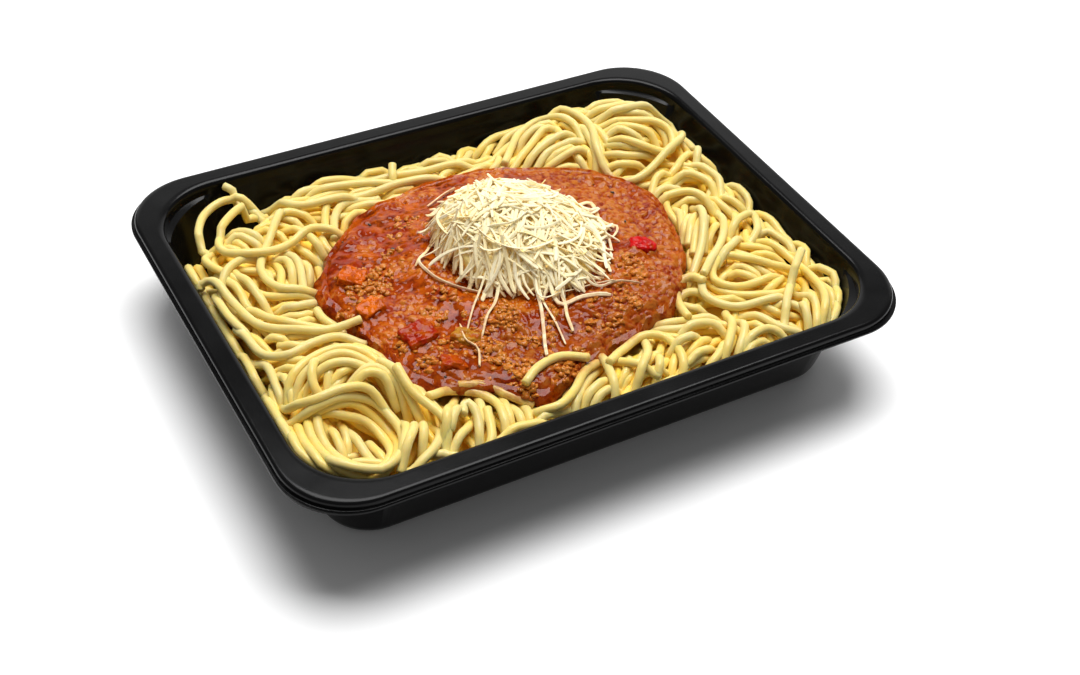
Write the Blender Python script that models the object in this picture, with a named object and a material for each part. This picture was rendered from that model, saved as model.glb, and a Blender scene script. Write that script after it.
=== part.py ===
"""Spaghetti bolognese with grated cheese, a ready meal in its black plastic tray.

Lengths are millimetres until body() turns them into metres. The tray's long side lies along X, +Z is up,
and the origin is the middle of the tray's flat underside.
"""

import math

import bmesh
import bpy
from mathutils import Euler, Vector

METRES_PER_MM = 0.001
CLEARANCE = 0.4

# Tray
TRAY_LENGTH = 227.0
TRAY_WIDTH = 178.0
TRAY_HEIGHT = 37.0
SHEET = 0.8
DRAFT = 0.317
WALL_INSET = 8.8
SKIRT_INSET = 1.0
LIP_HEIGHT = 33.4
LIP_THICKNESS = 0.6
RIM_FILLET = 1.8
RIM_ROUND = 1.3
LIP_FILLET = 0.4
FLOOR_FILLET = 3.5
LEDGE_HEIGHT = 32.4
LEDGE_STEP = 0.5
LEDGE_DEPTH = 2.4
CORNER_RADII = ((0.0, 24.0), (8.0, 26.0), (10.0, 24.0), (19.0, 16.0), (24.0, 11.0))
CORNER_STEPS = 9

# Spaghetti heap
SPOKES = 92
HEAP_CENTRE = (0.0, -6.0)
HEAP_OUTLINE = (
    (-60, -78), (0, -79), (50, -79), (84, -77), (94, -66), (97, -45), (94, -24), (97, 2), (101, 22),
    (103, 42), (95, 64), (76, 73), (54, 74), (36, 69), (20, 68), (0, 70), (-30, 73), (-60, 76),
    (-86, 74), (-97, 58), (-101, 30), (-102, 0), (-102, -40), (-97, -66), (-82, -77),
)
HEAP_RINGS = 10
HEAP_SIDE_LEVELS = 3
HEAP_FOOT = 6.0
PASTA_LEVEL = 33.0
SHOULDER = 9.0
EDGE_FRONT = 31.5
EDGE_BACK = 26.0
# x, y, ring radius, band width, lift behind, lift in front, depth of the hole
NESTS = (
    (-77.0, -54.0, 15.0, 9.0, 6.0, 2.0, 7.0),
    (67.0, -44.0, 11.0, 6.0, 4.5, 2.5, 3.0),
    (-79.0, 62.0, 11.0, 7.0, 1.5, 1.0, 5.0),
)
# x, y, radius along X, radius along Y, lift
MOUNDS = (
    (-80.0, -29.0, 17.0, 13.0, 6.5),
    (70.0, 52.0, 33.0, 20.0, 9.0),
    (84.0, 18.0, 14.0, 24.0, 3.0),
    (14.0, -70.0, 30.0, 9.0, 2.5),
    (-78.0, 45.0, 18.0, 20.0, 2.0),
    (-84.0, -8.0, 14.0, 26.0, 1.5),
    (-5.0, 70.0, 38.0, 9.0, -2.5),
)
HEAP_WAVE = 0.7

# Sauce
SAUCE_OUTLINE = (
    (-66, 20), (-54, 33), (-35, 47), (-19, 50), (-2, 52), (18, 50), (35, 42), (54, 31), (64, 18), (67, 2),
    (58, -26), (46, -43), (34, -50), (20, -55), (2, -60), (-12, -66), (-24, -70), (-34, -62), (-43, -55),
    (-53, -53), (-60, -39), (-63, -21), (-67, -10), (-69, 2),
)
SAUCE_TOP = 40.0
SAUCE_EDGE_DROP = 4.0
SAUCE_SINK = 2.8
SAUCE_DEPTH = 7.0
SAUCE_EDGE_RISE = 0.5
SAUCE_WAVE = 0.5
SAUCE_SHARES = (0.96, 0.86, 0.73, 0.58, 0.42, 0.22)
BASIN_SHARES = (0.8, 0.45)

# Grated cheese
CHEESE_CENTRE = (3.0, -1.5)
CHEESE_RADIUS = 29.5
CHEESE_HEIGHT = 19.0
CHEESE_WAVE = 1.6
CHEESE_SPOKES = 36
CHEESE_RINGS = 6
PLATEAU = 34.0
PLATEAU_BLEND = 16.0

# Vegetable pieces: name, x, y, half sizes, turn and tilt in degrees, colour
VEGETABLES = (
    ("red_pepper_piece", 42.0, -20.0, (4.9, 3.3, 2.4), (6, 4, -29), (0.55, 0.02, 0.02, 1.0)),
    ("carrot_cube", -57.0, -8.0, (4.2, 3.7, 3.2), (10, -8, 15), (0.75, 0.16, 0.02, 1.0)),
    ("carrot_piece", -56.0, 9.0, (4.6, 3.9, 2.6), (4, 8, -35), (0.72, 0.14, 0.02, 1.0)),
    ("tomato_piece_1", -48.0, -27.0, (5.2, 4.0, 2.6), (6, -4, 10), (0.52, 0.04, 0.02, 1.0)),
    ("tomato_piece_2", -44.0, -44.0, (5.0, 3.6, 2.4), (-8, 6, -20), (0.50, 0.03, 0.02, 1.0)),
    ("onion_piece", -35.0, -35.0, (4.0, 3.2, 2.2), (8, 6, -50), (0.62, 0.30, 0.10, 1.0)),
)
VEGETABLE_SQUARENESS = 3.2
VEGETABLE_LIFT = 0.3

BLACK_PLASTIC = ("black_plastic", (0.012, 0.012, 0.014, 1.0), 0.28)
COOKED_PASTA = ("cooked_pasta", (0.85, 0.64, 0.24, 1.0), 0.35)
MEAT_SAUCE = ("meat_sauce", (0.55, 0.11, 0.02, 1.0), 0.25)
CREAM_CHEESE = ("pale_cheese", (0.93, 0.84, 0.58, 1.0), 0.55)
VEGETABLE_ROUGHNESS = 0.2


def clear_scene():
    for old in list(bpy.data.objects):
        bpy.data.objects.remove(old, do_unlink=True)


def finish_material(name, colour, roughness):
    material = bpy.data.materials.new(name)
    material.use_nodes = True
    shader = material.node_tree.nodes["Principled BSDF"]
    shader.inputs["Base Color"].default_value = colour
    shader.inputs["Roughness"].default_value = roughness
    shader.inputs["Metallic"].default_value = 0.0
    return material


def smooth_step(value):
    value = min(1.0, max(0.0, value))
    return value * value * (3.0 - 2.0 * value)


def between(table, place):
    """The value at a place in a table of (place, value) rows, straight from row to row."""
    for (low, first), (high, second) in zip(table, table[1:]):
        if place <= high:
            share = max(0.0, (place - low) / (high - low))
            return first + (second - first) * share
    return table[-1][1]


def body(name, rings, material):
    """A closed body through rings of points in millimetres; a ring of one point is a pole."""
    mesh = bmesh.new()
    rows = [[mesh.verts.new(Vector(point) * METRES_PER_MM) for point in ring] for ring in rings]
    for row, following in zip(rows, rows[1:]):
        count = max(len(row), len(following))
        for step in range(count):
            ahead = (step + 1) % count
            if len(row) == 1:
                mesh.faces.new((row[0], following[ahead], following[step]))
            elif len(following) == 1:
                mesh.faces.new((row[step], row[ahead], following[0]))
            else:
                mesh.faces.new((row[step], row[ahead], following[ahead], following[step]))
    for row in (rows[0], rows[-1]):
        if len(row) > 2:
            mesh.faces.new(row)
    bmesh.ops.recalc_face_normals(mesh, faces=mesh.faces)
    data = bpy.data.meshes.new(name)
    mesh.to_mesh(data)
    mesh.free()
    data.shade_smooth()
    data.set_sharp_from_angle(angle=math.radians(40))
    data.materials.append(material)
    built = bpy.data.objects.new(name, data)
    bpy.context.scene.collection.objects.link(built)
    return built


# ---------------------------------------------------------------- tray

def wall_inset(height):
    """How far the inner face of the wall stands in from the lip's edge at a height."""
    return WALL_INSET + DRAFT * (TRAY_HEIGHT - RIM_FILLET - height)


def tray_outline(inset, height, ledge):
    """A ring of the tray: a rounded rectangle whose corners a ledge flattens inwards."""
    half_x = TRAY_LENGTH / 2 - inset
    half_y = TRAY_WIDTH / 2 - inset
    radius = between(CORNER_RADII, inset)
    ring = []
    for quarter, (side_x, side_y) in enumerate(((1, 1), (-1, 1), (-1, -1), (1, -1))):
        for step in range(CORNER_STEPS + 1):
            turn = math.pi / 2 * step / CORNER_STEPS
            angle = turn + quarter * math.pi / 2
            pull = ledge * math.sin(2 * turn) * math.sqrt(0.5)
            ring.append((
                side_x * (half_x - radius - pull) + radius * math.cos(angle),
                side_y * (half_y - radius - pull) + radius * math.sin(angle),
                height,
            ))
    return ring


def rounded(before, corner, after, length, steps=3):
    """Points that round a profile's corner, starting and ending a length away from it."""
    start = corner + (before - corner).normalized() * length
    end = corner + (after - corner).normalized() * length
    points = []
    for step in range(steps + 1):
        share = step / steps
        points.append(start * (1 - share) ** 2 + corner * 2 * share * (1 - share) + end * share ** 2)
    return points


def tray_profile():
    """Inset, height and ledge depth of each ring, from the inner floor over the rim to the underside."""
    top = TRAY_HEIGHT
    lip_top = LIP_HEIGHT + LIP_THICKNESS
    outer_wall = SHEET * math.hypot(1.0, DRAFT)
    middle = Vector((TRAY_WIDTH / 2, SHEET))
    floor_corner = Vector((wall_inset(SHEET), SHEET))
    rim_corner = Vector((WALL_INSET, top))
    skirt_corner = Vector((SKIRT_INSET, top))
    lip_corner = Vector((SKIRT_INSET, lip_top))
    lip_edge = Vector((0.0, lip_top))
    upper_ledge = LEDGE_HEIGHT + LEDGE_STEP

    def on_wall(height, out=0.0):
        return Vector((wall_inset(height) - out, height))

    rows = [(point, 0.0) for point in rounded(middle, floor_corner, rim_corner, FLOOR_FILLET)]
    rows += [(on_wall(LEDGE_HEIGHT), LEDGE_DEPTH), (on_wall(upper_ledge), 0.0)]
    rows += [(point, 0.0) for point in rounded(on_wall(upper_ledge), rim_corner, skirt_corner, RIM_FILLET)]
    rows += [(point, 0.0) for point in rounded(rim_corner, skirt_corner, lip_corner, RIM_ROUND)]
    rows += [(point, 0.0) for point in rounded(skirt_corner, lip_corner, lip_edge, LIP_FILLET, 2)]
    rows += [(lip_edge, 0.0), (Vector((0.0, LIP_HEIGHT)), 0.0)]
    under_skirt = SKIRT_INSET + SHEET
    rows += [(Vector((under_skirt, LIP_HEIGHT)), 0.0), (Vector((under_skirt, top - SHEET)), 0.0)]
    rows += [(Vector((WALL_INSET - RIM_FILLET, top - SHEET)), 0.0)]
    rows += [(on_wall(top - RIM_FILLET - SHEET, outer_wall), 0.0)]
    rows += [(on_wall(upper_ledge - SHEET, outer_wall), 0.0)]
    rows += [(on_wall(LEDGE_HEIGHT - SHEET, outer_wall), LEDGE_DEPTH)]
    under_corner = on_wall(0.0, outer_wall)
    under_middle = Vector((TRAY_WIDTH / 2, 0.0))
    outer_top = on_wall(LEDGE_HEIGHT, outer_wall)
    rows += [(point, 0.0) for point in rounded(outer_top, under_corner, under_middle, FLOOR_FILLET)]
    return rows


def make_tray():
    rings = [tray_outline(point.x, point.y, ledge) for point, ledge in tray_profile()]
    return body("tray", rings, finish_material(*BLACK_PLASTIC))


# ---------------------------------------------------------------- outlines read along spokes

def ray_length(direction, outline):
    """How far a ray from the heap's centre runs until it meets a closed outline."""
    centre = Vector(HEAP_CENTRE)
    reach = 0.0
    for first, second in zip(outline, outline[1:] + outline[:1]):
        start = Vector(first[:2]) - centre
        edge = Vector(second[:2]) - Vector(first[:2])
        cross = direction.x * edge.y - direction.y * edge.x
        if abs(cross) < 1e-9:
            continue
        along = (start.x * edge.y - start.y * edge.x) / cross
        share = (start.x * direction.y - start.y * direction.x) / cross
        if along > 0.0 and -1e-6 <= share <= 1.0 + 1e-6:
            reach = max(reach, along)
    return reach


def rounded_loop(points, passes=2):
    """A closed outline whose corners are cut by halves until it runs round."""
    loop = [Vector(point) for point in points]
    for _ in range(passes):
        cut = []
        for first, second in zip(loop, loop[1:] + loop[:1]):
            cut += [first * 0.75 + second * 0.25, first * 0.25 + second * 0.75]
        loop = cut
    return loop


def spoke_directions():
    """Directions from the heap's centre to points spread evenly along the heap's edge."""
    loop = rounded_loop(HEAP_OUTLINE)
    lengths = [(second - first).length for first, second in zip(loop, loop[1:] + loop[:1])]
    pace = sum(lengths) / SPOKES
    directions = []
    walked = 0.0
    for start, end, length in zip(loop, loop[1:] + loop[:1], lengths):
        while len(directions) < SPOKES and pace * len(directions) < walked + length:
            share = (pace * len(directions) - walked) / length
            directions.append((start.lerp(end, share) - Vector(HEAP_CENTRE)).normalized())
        walked += length
    return directions


def spot(direction, reach):
    return Vector(HEAP_CENTRE) + direction * reach


def wall_reach(direction, height):
    """How far food can reach along a spoke before the tray's inner wall."""
    share = (LEDGE_HEIGHT - height) / LEDGE_HEIGHT
    ledge = LEDGE_DEPTH * (1.0 - share) if height <= LEDGE_HEIGHT + LEDGE_STEP else 0.0
    ring = tray_outline(wall_inset(height) + CLEARANCE, height, ledge)
    return ray_length(direction, ring)


# ---------------------------------------------------------------- heights of the food

def edge_height(y):
    """The heap stands against the front wall and slopes away from the back one."""
    return EDGE_FRONT + (EDGE_BACK - EDGE_FRONT) * smooth_step((y + 60.0) / 110.0)


def pasta_height(place, from_edge):
    """Top of the spaghetti at a place a given distance inside the heap's edge."""
    x, y = place
    height = PASTA_LEVEL
    for nest_x, nest_y, ring, band, behind, front, hole in NESTS:
        away = Vector((x - nest_x, y - nest_y))
        rise = away.y / max(away.length, 1.0)
        lift = front + (behind - front) * (0.5 + 0.5 * rise)
        height += lift * math.exp(-((away.length - ring) / band) ** 2)
        height -= hole * math.exp(-(away.length / (ring - 0.5 * band)) ** 2)
    for mound_x, mound_y, radius_x, radius_y, lift in MOUNDS:
        spread = ((x - mound_x) / radius_x) ** 2 + ((y - mound_y) / radius_y) ** 2
        height += lift * math.exp(-spread ** 1.5)
    height += HEAP_WAVE * math.sin(x / 5.1 + y / 8.3) * math.cos(y / 4.7 - x / 11.0)
    edge = edge_height(y)
    return edge + (height - edge) * math.sqrt(smooth_step(from_edge / SHOULDER))


def sauce_height(place):
    """Top of the sauce: level under the cheese, uneven and lower towards its edge."""
    x, y = place
    away = math.hypot(x - CHEESE_CENTRE[0], y - CHEESE_CENTRE[1])
    fall = smooth_step((away - PLATEAU) / PLATEAU_BLEND)
    wave = math.sin(x / 4.3 + 1.0) * math.cos(y / 3.9) + 0.5 * math.sin((x - y) / 3.1)
    return SAUCE_TOP - fall * (SAUCE_EDGE_DROP - 1.0 + SAUCE_WAVE * (wave - 1.0))


class Spoke:
    """One radial slice: where the sauce and the heap end, and how high they stand there."""

    def __init__(self, direction):
        self.direction = direction
        self.sauce = ray_length(direction, rounded_loop(SAUCE_OUTLINE))
        edge = ray_length(direction, rounded_loop(HEAP_OUTLINE))
        low = edge_height(spot(direction, edge).y)
        self.edge = min(edge, wall_reach(direction, low))
        self.edge_height = edge_height(spot(direction, self.edge).y)
        self.lip = pasta_height(spot(direction, self.sauce), self.edge - self.sauce)

    def at(self, reach, height):
        place = spot(self.direction, reach)
        return (place.x, place.y, height)

    def basin(self, share):
        """Height of the sauce's underside at a share of its reach."""
        return self.lip - SAUCE_SINK - (SAUCE_DEPTH - SAUCE_SINK) * (1.0 - share ** 4)


# ---------------------------------------------------------------- spaghetti, sauce, cheese

def basin_bottom(spokes):
    return min(spoke.basin(0.0) for spoke in spokes)


def make_spaghetti(spokes):
    floor = SHEET + CLEARANCE
    deepest = basin_bottom(spokes) - CLEARANCE
    rings = [[(*HEAP_CENTRE, deepest)]]
    for share in reversed(BASIN_SHARES):
        rings.append([
            spoke.at(spoke.sauce * share, max(deepest, spoke.basin(share) - CLEARANCE)) for spoke in spokes
        ])
    rings.append([spoke.at(spoke.sauce, spoke.basin(1.0) - CLEARANCE) for spoke in spokes])
    for step in range(HEAP_RINGS + 1):
        share = step / HEAP_RINGS
        ring = []
        for spoke in spokes:
            reach = spoke.sauce + (spoke.edge - spoke.sauce) * share
            height = pasta_height(spot(spoke.direction, reach), spoke.edge - reach)
            ring.append(spoke.at(reach, height))
        rings.append(ring)
    for level in range(1, HEAP_SIDE_LEVELS + 1):
        ring = []
        for spoke in spokes:
            height = spoke.edge_height + (HEAP_FOOT - spoke.edge_height) * level / HEAP_SIDE_LEVELS
            ring.append(spoke.at(min(spoke.edge, wall_reach(spoke.direction, height)), height))
        rings.append(ring)
    rings.append([
        spoke.at(wall_reach(spoke.direction, floor) - FLOOR_FILLET, floor) for spoke in spokes
    ])
    return body("spaghetti", rings, finish_material(*COOKED_PASTA))


def make_sauce(spokes):
    deepest = basin_bottom(spokes)
    rings = [[(*HEAP_CENTRE, deepest)]]
    for share in reversed(BASIN_SHARES):
        rings.append([
            spoke.at(spoke.sauce * share, max(deepest, spoke.basin(share))) for spoke in spokes
        ])
    rings.append([spoke.at(spoke.sauce - CLEARANCE, spoke.basin(1.0)) for spoke in spokes])
    rings.append([
        spoke.at(spoke.sauce - CLEARANCE, spoke.lip + SAUCE_EDGE_RISE) for spoke in spokes
    ])
    for share in SAUCE_SHARES:
        ring = []
        for spoke in spokes:
            height = sauce_height(spot(spoke.direction, spoke.sauce * share))
            ring.append(spoke.at(spoke.sauce * share, height))
        rings.append(ring)
    rings.append([(*HEAP_CENTRE, SAUCE_TOP)])
    return body("sauce", rings, finish_material(*MEAT_SAUCE))


def make_cheese():
    base = SAUCE_TOP + CLEARANCE
    centre_x, centre_y = CHEESE_CENTRE
    rings = [[(centre_x, centre_y, base)]]
    for level in range(CHEESE_RINGS + 1):
        rise = 0.0 if level == 0 else (level - 0.5) / CHEESE_RINGS * math.pi / 2
        ring = []
        for step in range(CHEESE_SPOKES):
            angle = 2 * math.pi * step / CHEESE_SPOKES
            uneven = CHEESE_WAVE * (math.sin(3 * angle + 2 * rise) + 0.6 * math.sin(7 * angle - 3 * rise))
            reach = (CHEESE_RADIUS + uneven) * math.cos(rise) ** 0.8
            bump = 0.7 * math.sin(5 * angle + 4 * rise) * math.sin(2 * rise)
            height = base + CHEESE_HEIGHT * math.sin(rise) + bump
            ring.append((centre_x + reach * math.cos(angle), centre_y + reach * math.sin(angle), height))
        rings.append(ring)
    rings.append([(centre_x, centre_y, base + CHEESE_HEIGHT)])
    return body("grated_cheese", rings, finish_material(*CREAM_CHEESE))


# ---------------------------------------------------------------- vegetable pieces

def diced_piece(name, place, half_sizes, turn, material, grow=0.0):
    """A diced lump: a ball of 80 faces pushed out towards a box with soft corners."""
    mesh = bmesh.new()
    bmesh.ops.create_icosphere(mesh, subdivisions=2, radius=1.0)
    power = VEGETABLE_SQUARENESS
    rotation = Euler([math.radians(part) for part in turn]).to_matrix()
    for vertex in mesh.verts:
        way = vertex.co.normalized()
        reach = sum(abs(part) ** power for part in way) ** (-1.0 / power)
        sized = Vector([part * reach * (half + grow) for part, half in zip(way, half_sizes)])
        vertex.co = (rotation @ sized + Vector(place)) * METRES_PER_MM
    data = bpy.data.meshes.new(name)
    mesh.to_mesh(data)
    mesh.free()
    data.shade_smooth()
    data.materials.append(material)
    built = bpy.data.objects.new(name, data)
    bpy.context.scene.collection.objects.link(built)
    return built


def make_vegetables(sauce):
    """Each piece lies half sunk in a pocket of the sauce that clears it all round."""
    for name, x, y, half_sizes, turn, colour in VEGETABLES:
        place = (x, y, sauce_height((x, y)) + VEGETABLE_LIFT)
        diced_piece(name, place, half_sizes, turn, finish_material(name, colour, VEGETABLE_ROUGHNESS))
        cutter = diced_piece(name + "_pocket", place, half_sizes, turn, sauce.data.materials[0], CLEARANCE)
        cutter.hide_render = True
        cutter.display_type = "WIRE"
        pocket = sauce.modifiers.new(name + "_pocket", "BOOLEAN")
        pocket.operation = "DIFFERENCE"
        pocket.solver = "EXACT"
        pocket.object = cutter


def main():
    clear_scene()
    spokes = [Spoke(direction) for direction in spoke_directions()]
    make_tray()
    make_spaghetti(spokes)
    sauce = make_sauce(spokes)
    make_cheese()
    make_vegetables(sauce)


main()
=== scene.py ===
"""Spaghetti bolognese with grated cheese in its black tray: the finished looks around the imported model.

Working lengths are millimetres in the tray's own frame (long side along X, +Z up, origin in the middle of
the underside), and become metres when a mesh or a curve is written.
"""

import math

import bmesh
import bpy
import numpy as np
from bpy.props import FloatProperty, FloatVectorProperty, IntProperty, PointerProperty
from mathutils import Euler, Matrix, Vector, noise
from mathutils.bvhtree import BVHTree


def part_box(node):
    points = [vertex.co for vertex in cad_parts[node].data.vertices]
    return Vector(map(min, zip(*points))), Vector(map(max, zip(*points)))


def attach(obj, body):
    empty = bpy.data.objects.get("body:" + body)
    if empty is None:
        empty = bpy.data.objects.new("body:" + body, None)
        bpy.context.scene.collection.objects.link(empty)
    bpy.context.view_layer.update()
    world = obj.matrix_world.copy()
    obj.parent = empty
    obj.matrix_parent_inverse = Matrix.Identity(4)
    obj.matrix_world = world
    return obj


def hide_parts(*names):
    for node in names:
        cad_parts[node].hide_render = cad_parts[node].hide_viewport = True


bl_info = {
    "name": "Spaghetti Bolognese Tray Meal",
    "version": (1, 0, 0),
    "blender": (4, 5, 0),
    "location": "3D View > Sidebar > Tray Meal",
    "description": "Builds a ready meal of spaghetti, meat sauce and grated cheese in a black tray",
    "category": "Object",
}

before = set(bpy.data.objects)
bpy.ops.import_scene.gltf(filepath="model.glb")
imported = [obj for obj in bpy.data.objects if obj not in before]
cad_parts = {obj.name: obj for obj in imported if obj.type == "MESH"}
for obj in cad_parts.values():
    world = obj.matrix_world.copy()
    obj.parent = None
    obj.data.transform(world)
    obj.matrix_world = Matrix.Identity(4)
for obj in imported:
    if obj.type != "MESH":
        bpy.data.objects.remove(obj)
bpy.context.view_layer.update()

MM = 0.001


def node_box(name):
    """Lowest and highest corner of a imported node, in millimetres."""
    low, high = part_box(name)
    return low / MM, high / MM


TRAY_LOW, TRAY_HIGH = node_box("tray")
CHEESE_LOW, CHEESE_HIGH = node_box("grated_cheese")
CHEESE_MIDDLE = (CHEESE_LOW + CHEESE_HIGH) / 2

# ------------------------------------------------------------------ tray, the sizes that its solid has

SHEET = 0.8
DRAFT = 0.317
WALL_INSET = 8.8
SKIRT_INSET = 1.0
LIP_HEIGHT = 33.4
LIP_THICKNESS = 0.6
RIM_FILLET = 1.8
RIM_ROUND = 1.3
LIP_FILLET = 0.4
FLOOR_FILLET = 3.5
LEDGE_HEIGHT = 32.4
LEDGE_STEP = 0.5
LEDGE_DEPTH = 2.4
# Inset from the tray's edge, and the corner radius there
CORNER_RADII = ((0.0, 24.0), (8.0, 26.0), (10.0, 24.0), (19.0, 16.0), (24.0, 11.0))
# What the strands keep to the wall
WALL_GAP = 0.3

# ------------------------------------------------------------------ sauce

SAUCE_OUTLINE = (
    (-66, 20), (-54, 33), (-35, 47), (-19, 50), (-2, 52), (18, 50), (35, 42), (54, 31), (64, 18), (67, 2),
    (58, -26), (46, -43), (34, -50), (20, -55), (2, -60), (-12, -66), (-24, -70), (-34, -62), (-43, -55),
    (-53, -53), (-60, -39), (-63, -21), (-67, -10), (-69, 2),
)
SAUCE_LEVEL = 39.6
SAUCE_DROP = 3.3
PLATEAU = 34.0
PLATEAU_BLEND = 16.0
SAUCE_ROUND = 7.0
SAUCE_SPOKES = 150
SAUCE_RINGS = 32
SAUCE_SKIRT = 2.5
SAUCE_BOTTOM = 29.0
SAUCE_MIDDLE = (0.0, -6.0)
# How far inside its edge the sauce's outline is still uneven
FRINGE_DEPTH = 7.0
# The sauce gets darker towards the front, and a little at the right: where that starts, and its reach
DARK_FRONT = (-22.0, 26.0)
DARK_RIGHT = (5.0, 25.0)
RIGHT_SHARE = 0.4

# ------------------------------------------------------------------ empty places in the heap

# x, y, radius X, radius Y, height that the pasta stays under
GAPS = (
    (-88, 73, 23, 15, 12),
    (-81, 59, 7, 6, 19),
    (-82, -59, 9, 8, 25),
    (-57, -68, 3, 6, 25),
    (-44, -61, 3, 6, 25),
    (-103, -16, 5, 9, 22),
    (98, 43, 4, 5, 24),
    (84, 9, 4, 4, 26),
    (46, -50, 4, 4, 26),
    (72, -43, 4, 3, 28),
    (-52, 47, 4, 3, 28),
)

# ------------------------------------------------------------------ the heap's inside

# Spacing of the plan on which heights are kept
CELL = 0.5
# Heights of the lower and of the top strands before they come to rest, and of the basin under the sauce
LOWER_HEIGHT = 30.0
UPPER_HEIGHT = 32.0
BASIN_HEIGHT = 32.0
# A strand's underside stays this far above the tray's floor
FLOOR_GAP = 1.5
CORE_LOWEST = 2.0
CORE_COVER = 3.0
CORE_SPOKES = 96
# From the core's edge inwards, as shares of its reach
CORE_SHARES = (1.0, 0.98, 0.94, 0.89, 0.83, 0.76, 0.68, 0.60, 0.50, 0.38, 0.25, 0.12)
# What the core keeps to the heap's edge, and how far its own edge drops there
CORE_MARGIN = 4.0
CORE_EDGE_DROP = 2.5
# Lowest height of the core's top, and its highest one under the sauce, within this share of its reach
CORE_TOP_LOWEST = 6.5
CORE_UNDER_SAUCE = 27.0
UNDER_SAUCE_SHARE = 0.6
# Share of the reach and height of the core's two lowest rings
CORE_FOOT = ((0.86, 1.4), (0.93, 6.0))
# Points between two spots of a route, before they are spaced evenly
ROUTE_STEPS = 12
# How much of a strand's colour the sauce takes at most
MOST_STAIN = 0.6
# The strands' direction is kept on a coarse plan
FLOW_LOW = (-112.0, -88.0)
FLOW_HIGH = (112.0, 88.0)
FLOW_STEP = 4.0
FLOW_WIDTH = 4.5

# ------------------------------------------------------------------ strands laid one by one
# Each strand runs through a few spots (x, y), or (x, y, height) where it spans an empty place.
# Within a group the lowest strand comes first.

BACK_RUN = (
    ((-51, 68), (-34, 65), (-19, 61), (-5, 55)),
    ((-58, 68), (-41, 70), (-20, 67), (3, 62), (17, 57)),
    ((-53, 61), (-39, 59), (-12, 56), (2, 53)),
    ((-48, 72), (-25, 71), (-2, 67), (22, 61)),
    ((-14, 67, 34), (-15, 65), (-17, 60)),
)
BACK_LEFT = (
    ((-67, 56), (-61, 58), (-55, 56), (-50, 49)),
    ((-66, 52), (-60, 48), (-57, 41), (-57, 34)),
    ((-52, 41), (-48, 51), (-44, 57), (-38, 60)),
    ((-50, 38), (-45, 49), (-38, 55), (-25, 55)),
    ((-59, 45), (-58, 37), (-56, 31)),
    ((-54, 44), (-54, 36), (-52, 31)),
    ((-75, 39), (-69, 36), (-67, 30), (-71, 15)),
    ((-77, 37), (-71, 32), (-71, 26), (-74, 18)),
    ((-88, 49), (-81, 50), (-76, 44), (-76, 39)),
    ((-87, 55), (-79, 53), (-72, 43)),
    ((-90, 51), (-95, 46), (-93, 37), (-88, 27), (-84, 19), (-78, 15), (-68, 12)),
    ((-59, 62), (-69, 48), (-79, 34), (-81, 26), (-79, 18), (-75, 15), (-67, 13)),
    ((-83, 12), (-77, 8), (-70, 8)),
    ((-77, 36), (-84, 37), (-92, 33), (-97, 25), (-98, 17), (-94, 8)),
    ((-93, 32), (-91, 23), (-91, 16), (-89, 9)),
    ((-89, 33), (-87, 23), (-86, 15), (-85, 7)),
    ((-65, 70), (-60, 66), (-56, 59), (-47, 56), (-30, 56)),
    ((-76, 78, 36), (-73, 73, 35), (-70, 68), (-67, 62)),
    ((-66, 65), (-71, 69, 34), (-78, 73, 33), (-86, 70, 32), (-91, 63, 32), (-93, 56, 32), (-91, 48)),
    ((-65, 65), (-73, 64, 36), (-80, 60, 36), (-86, 54, 36), (-89, 47), (-86, 39), (-77, 36), (-67, 38),
     (-58, 42), (-51, 41), (-45, 36)),
)
LEFT_SIDE = (
    ((-98, 28), (-99, 20), (-98, 10), (-95, -3)),
    ((-91, 0), (-90, -4), (-85, -8)),
    ((-101, 2), (-100, -6), (-101, -20)),
    ((-89, -7), (-84, -13), (-74, -12)),
    ((-71, 4), (-71, -2), (-67, -10)),
    ((-103, -20), (-103, -35), (-103, -54)),
    ((-102, -34), (-102, -46), (-102, -57), (-99, -66)),
    ((-99, -6), (-96, -14), (-97, -26), (-98, -36)),
    ((-94, -20), (-94, -28), (-96, -36)),
    ((-100, -43), (-102, -54), (-99, -66), (-94, -74)),
    ((-92, 18), (-89, 9), (-83, 1), (-77, -4), (-70, -9)),
    ((-103, 33), (-104, 20), (-103, 8), (-100, -2)),
    ((-98, 8), (-97, -3), (-95, -11), (-89, -16), (-81, -15), (-71, -14), (-64, -20)),
)
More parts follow.
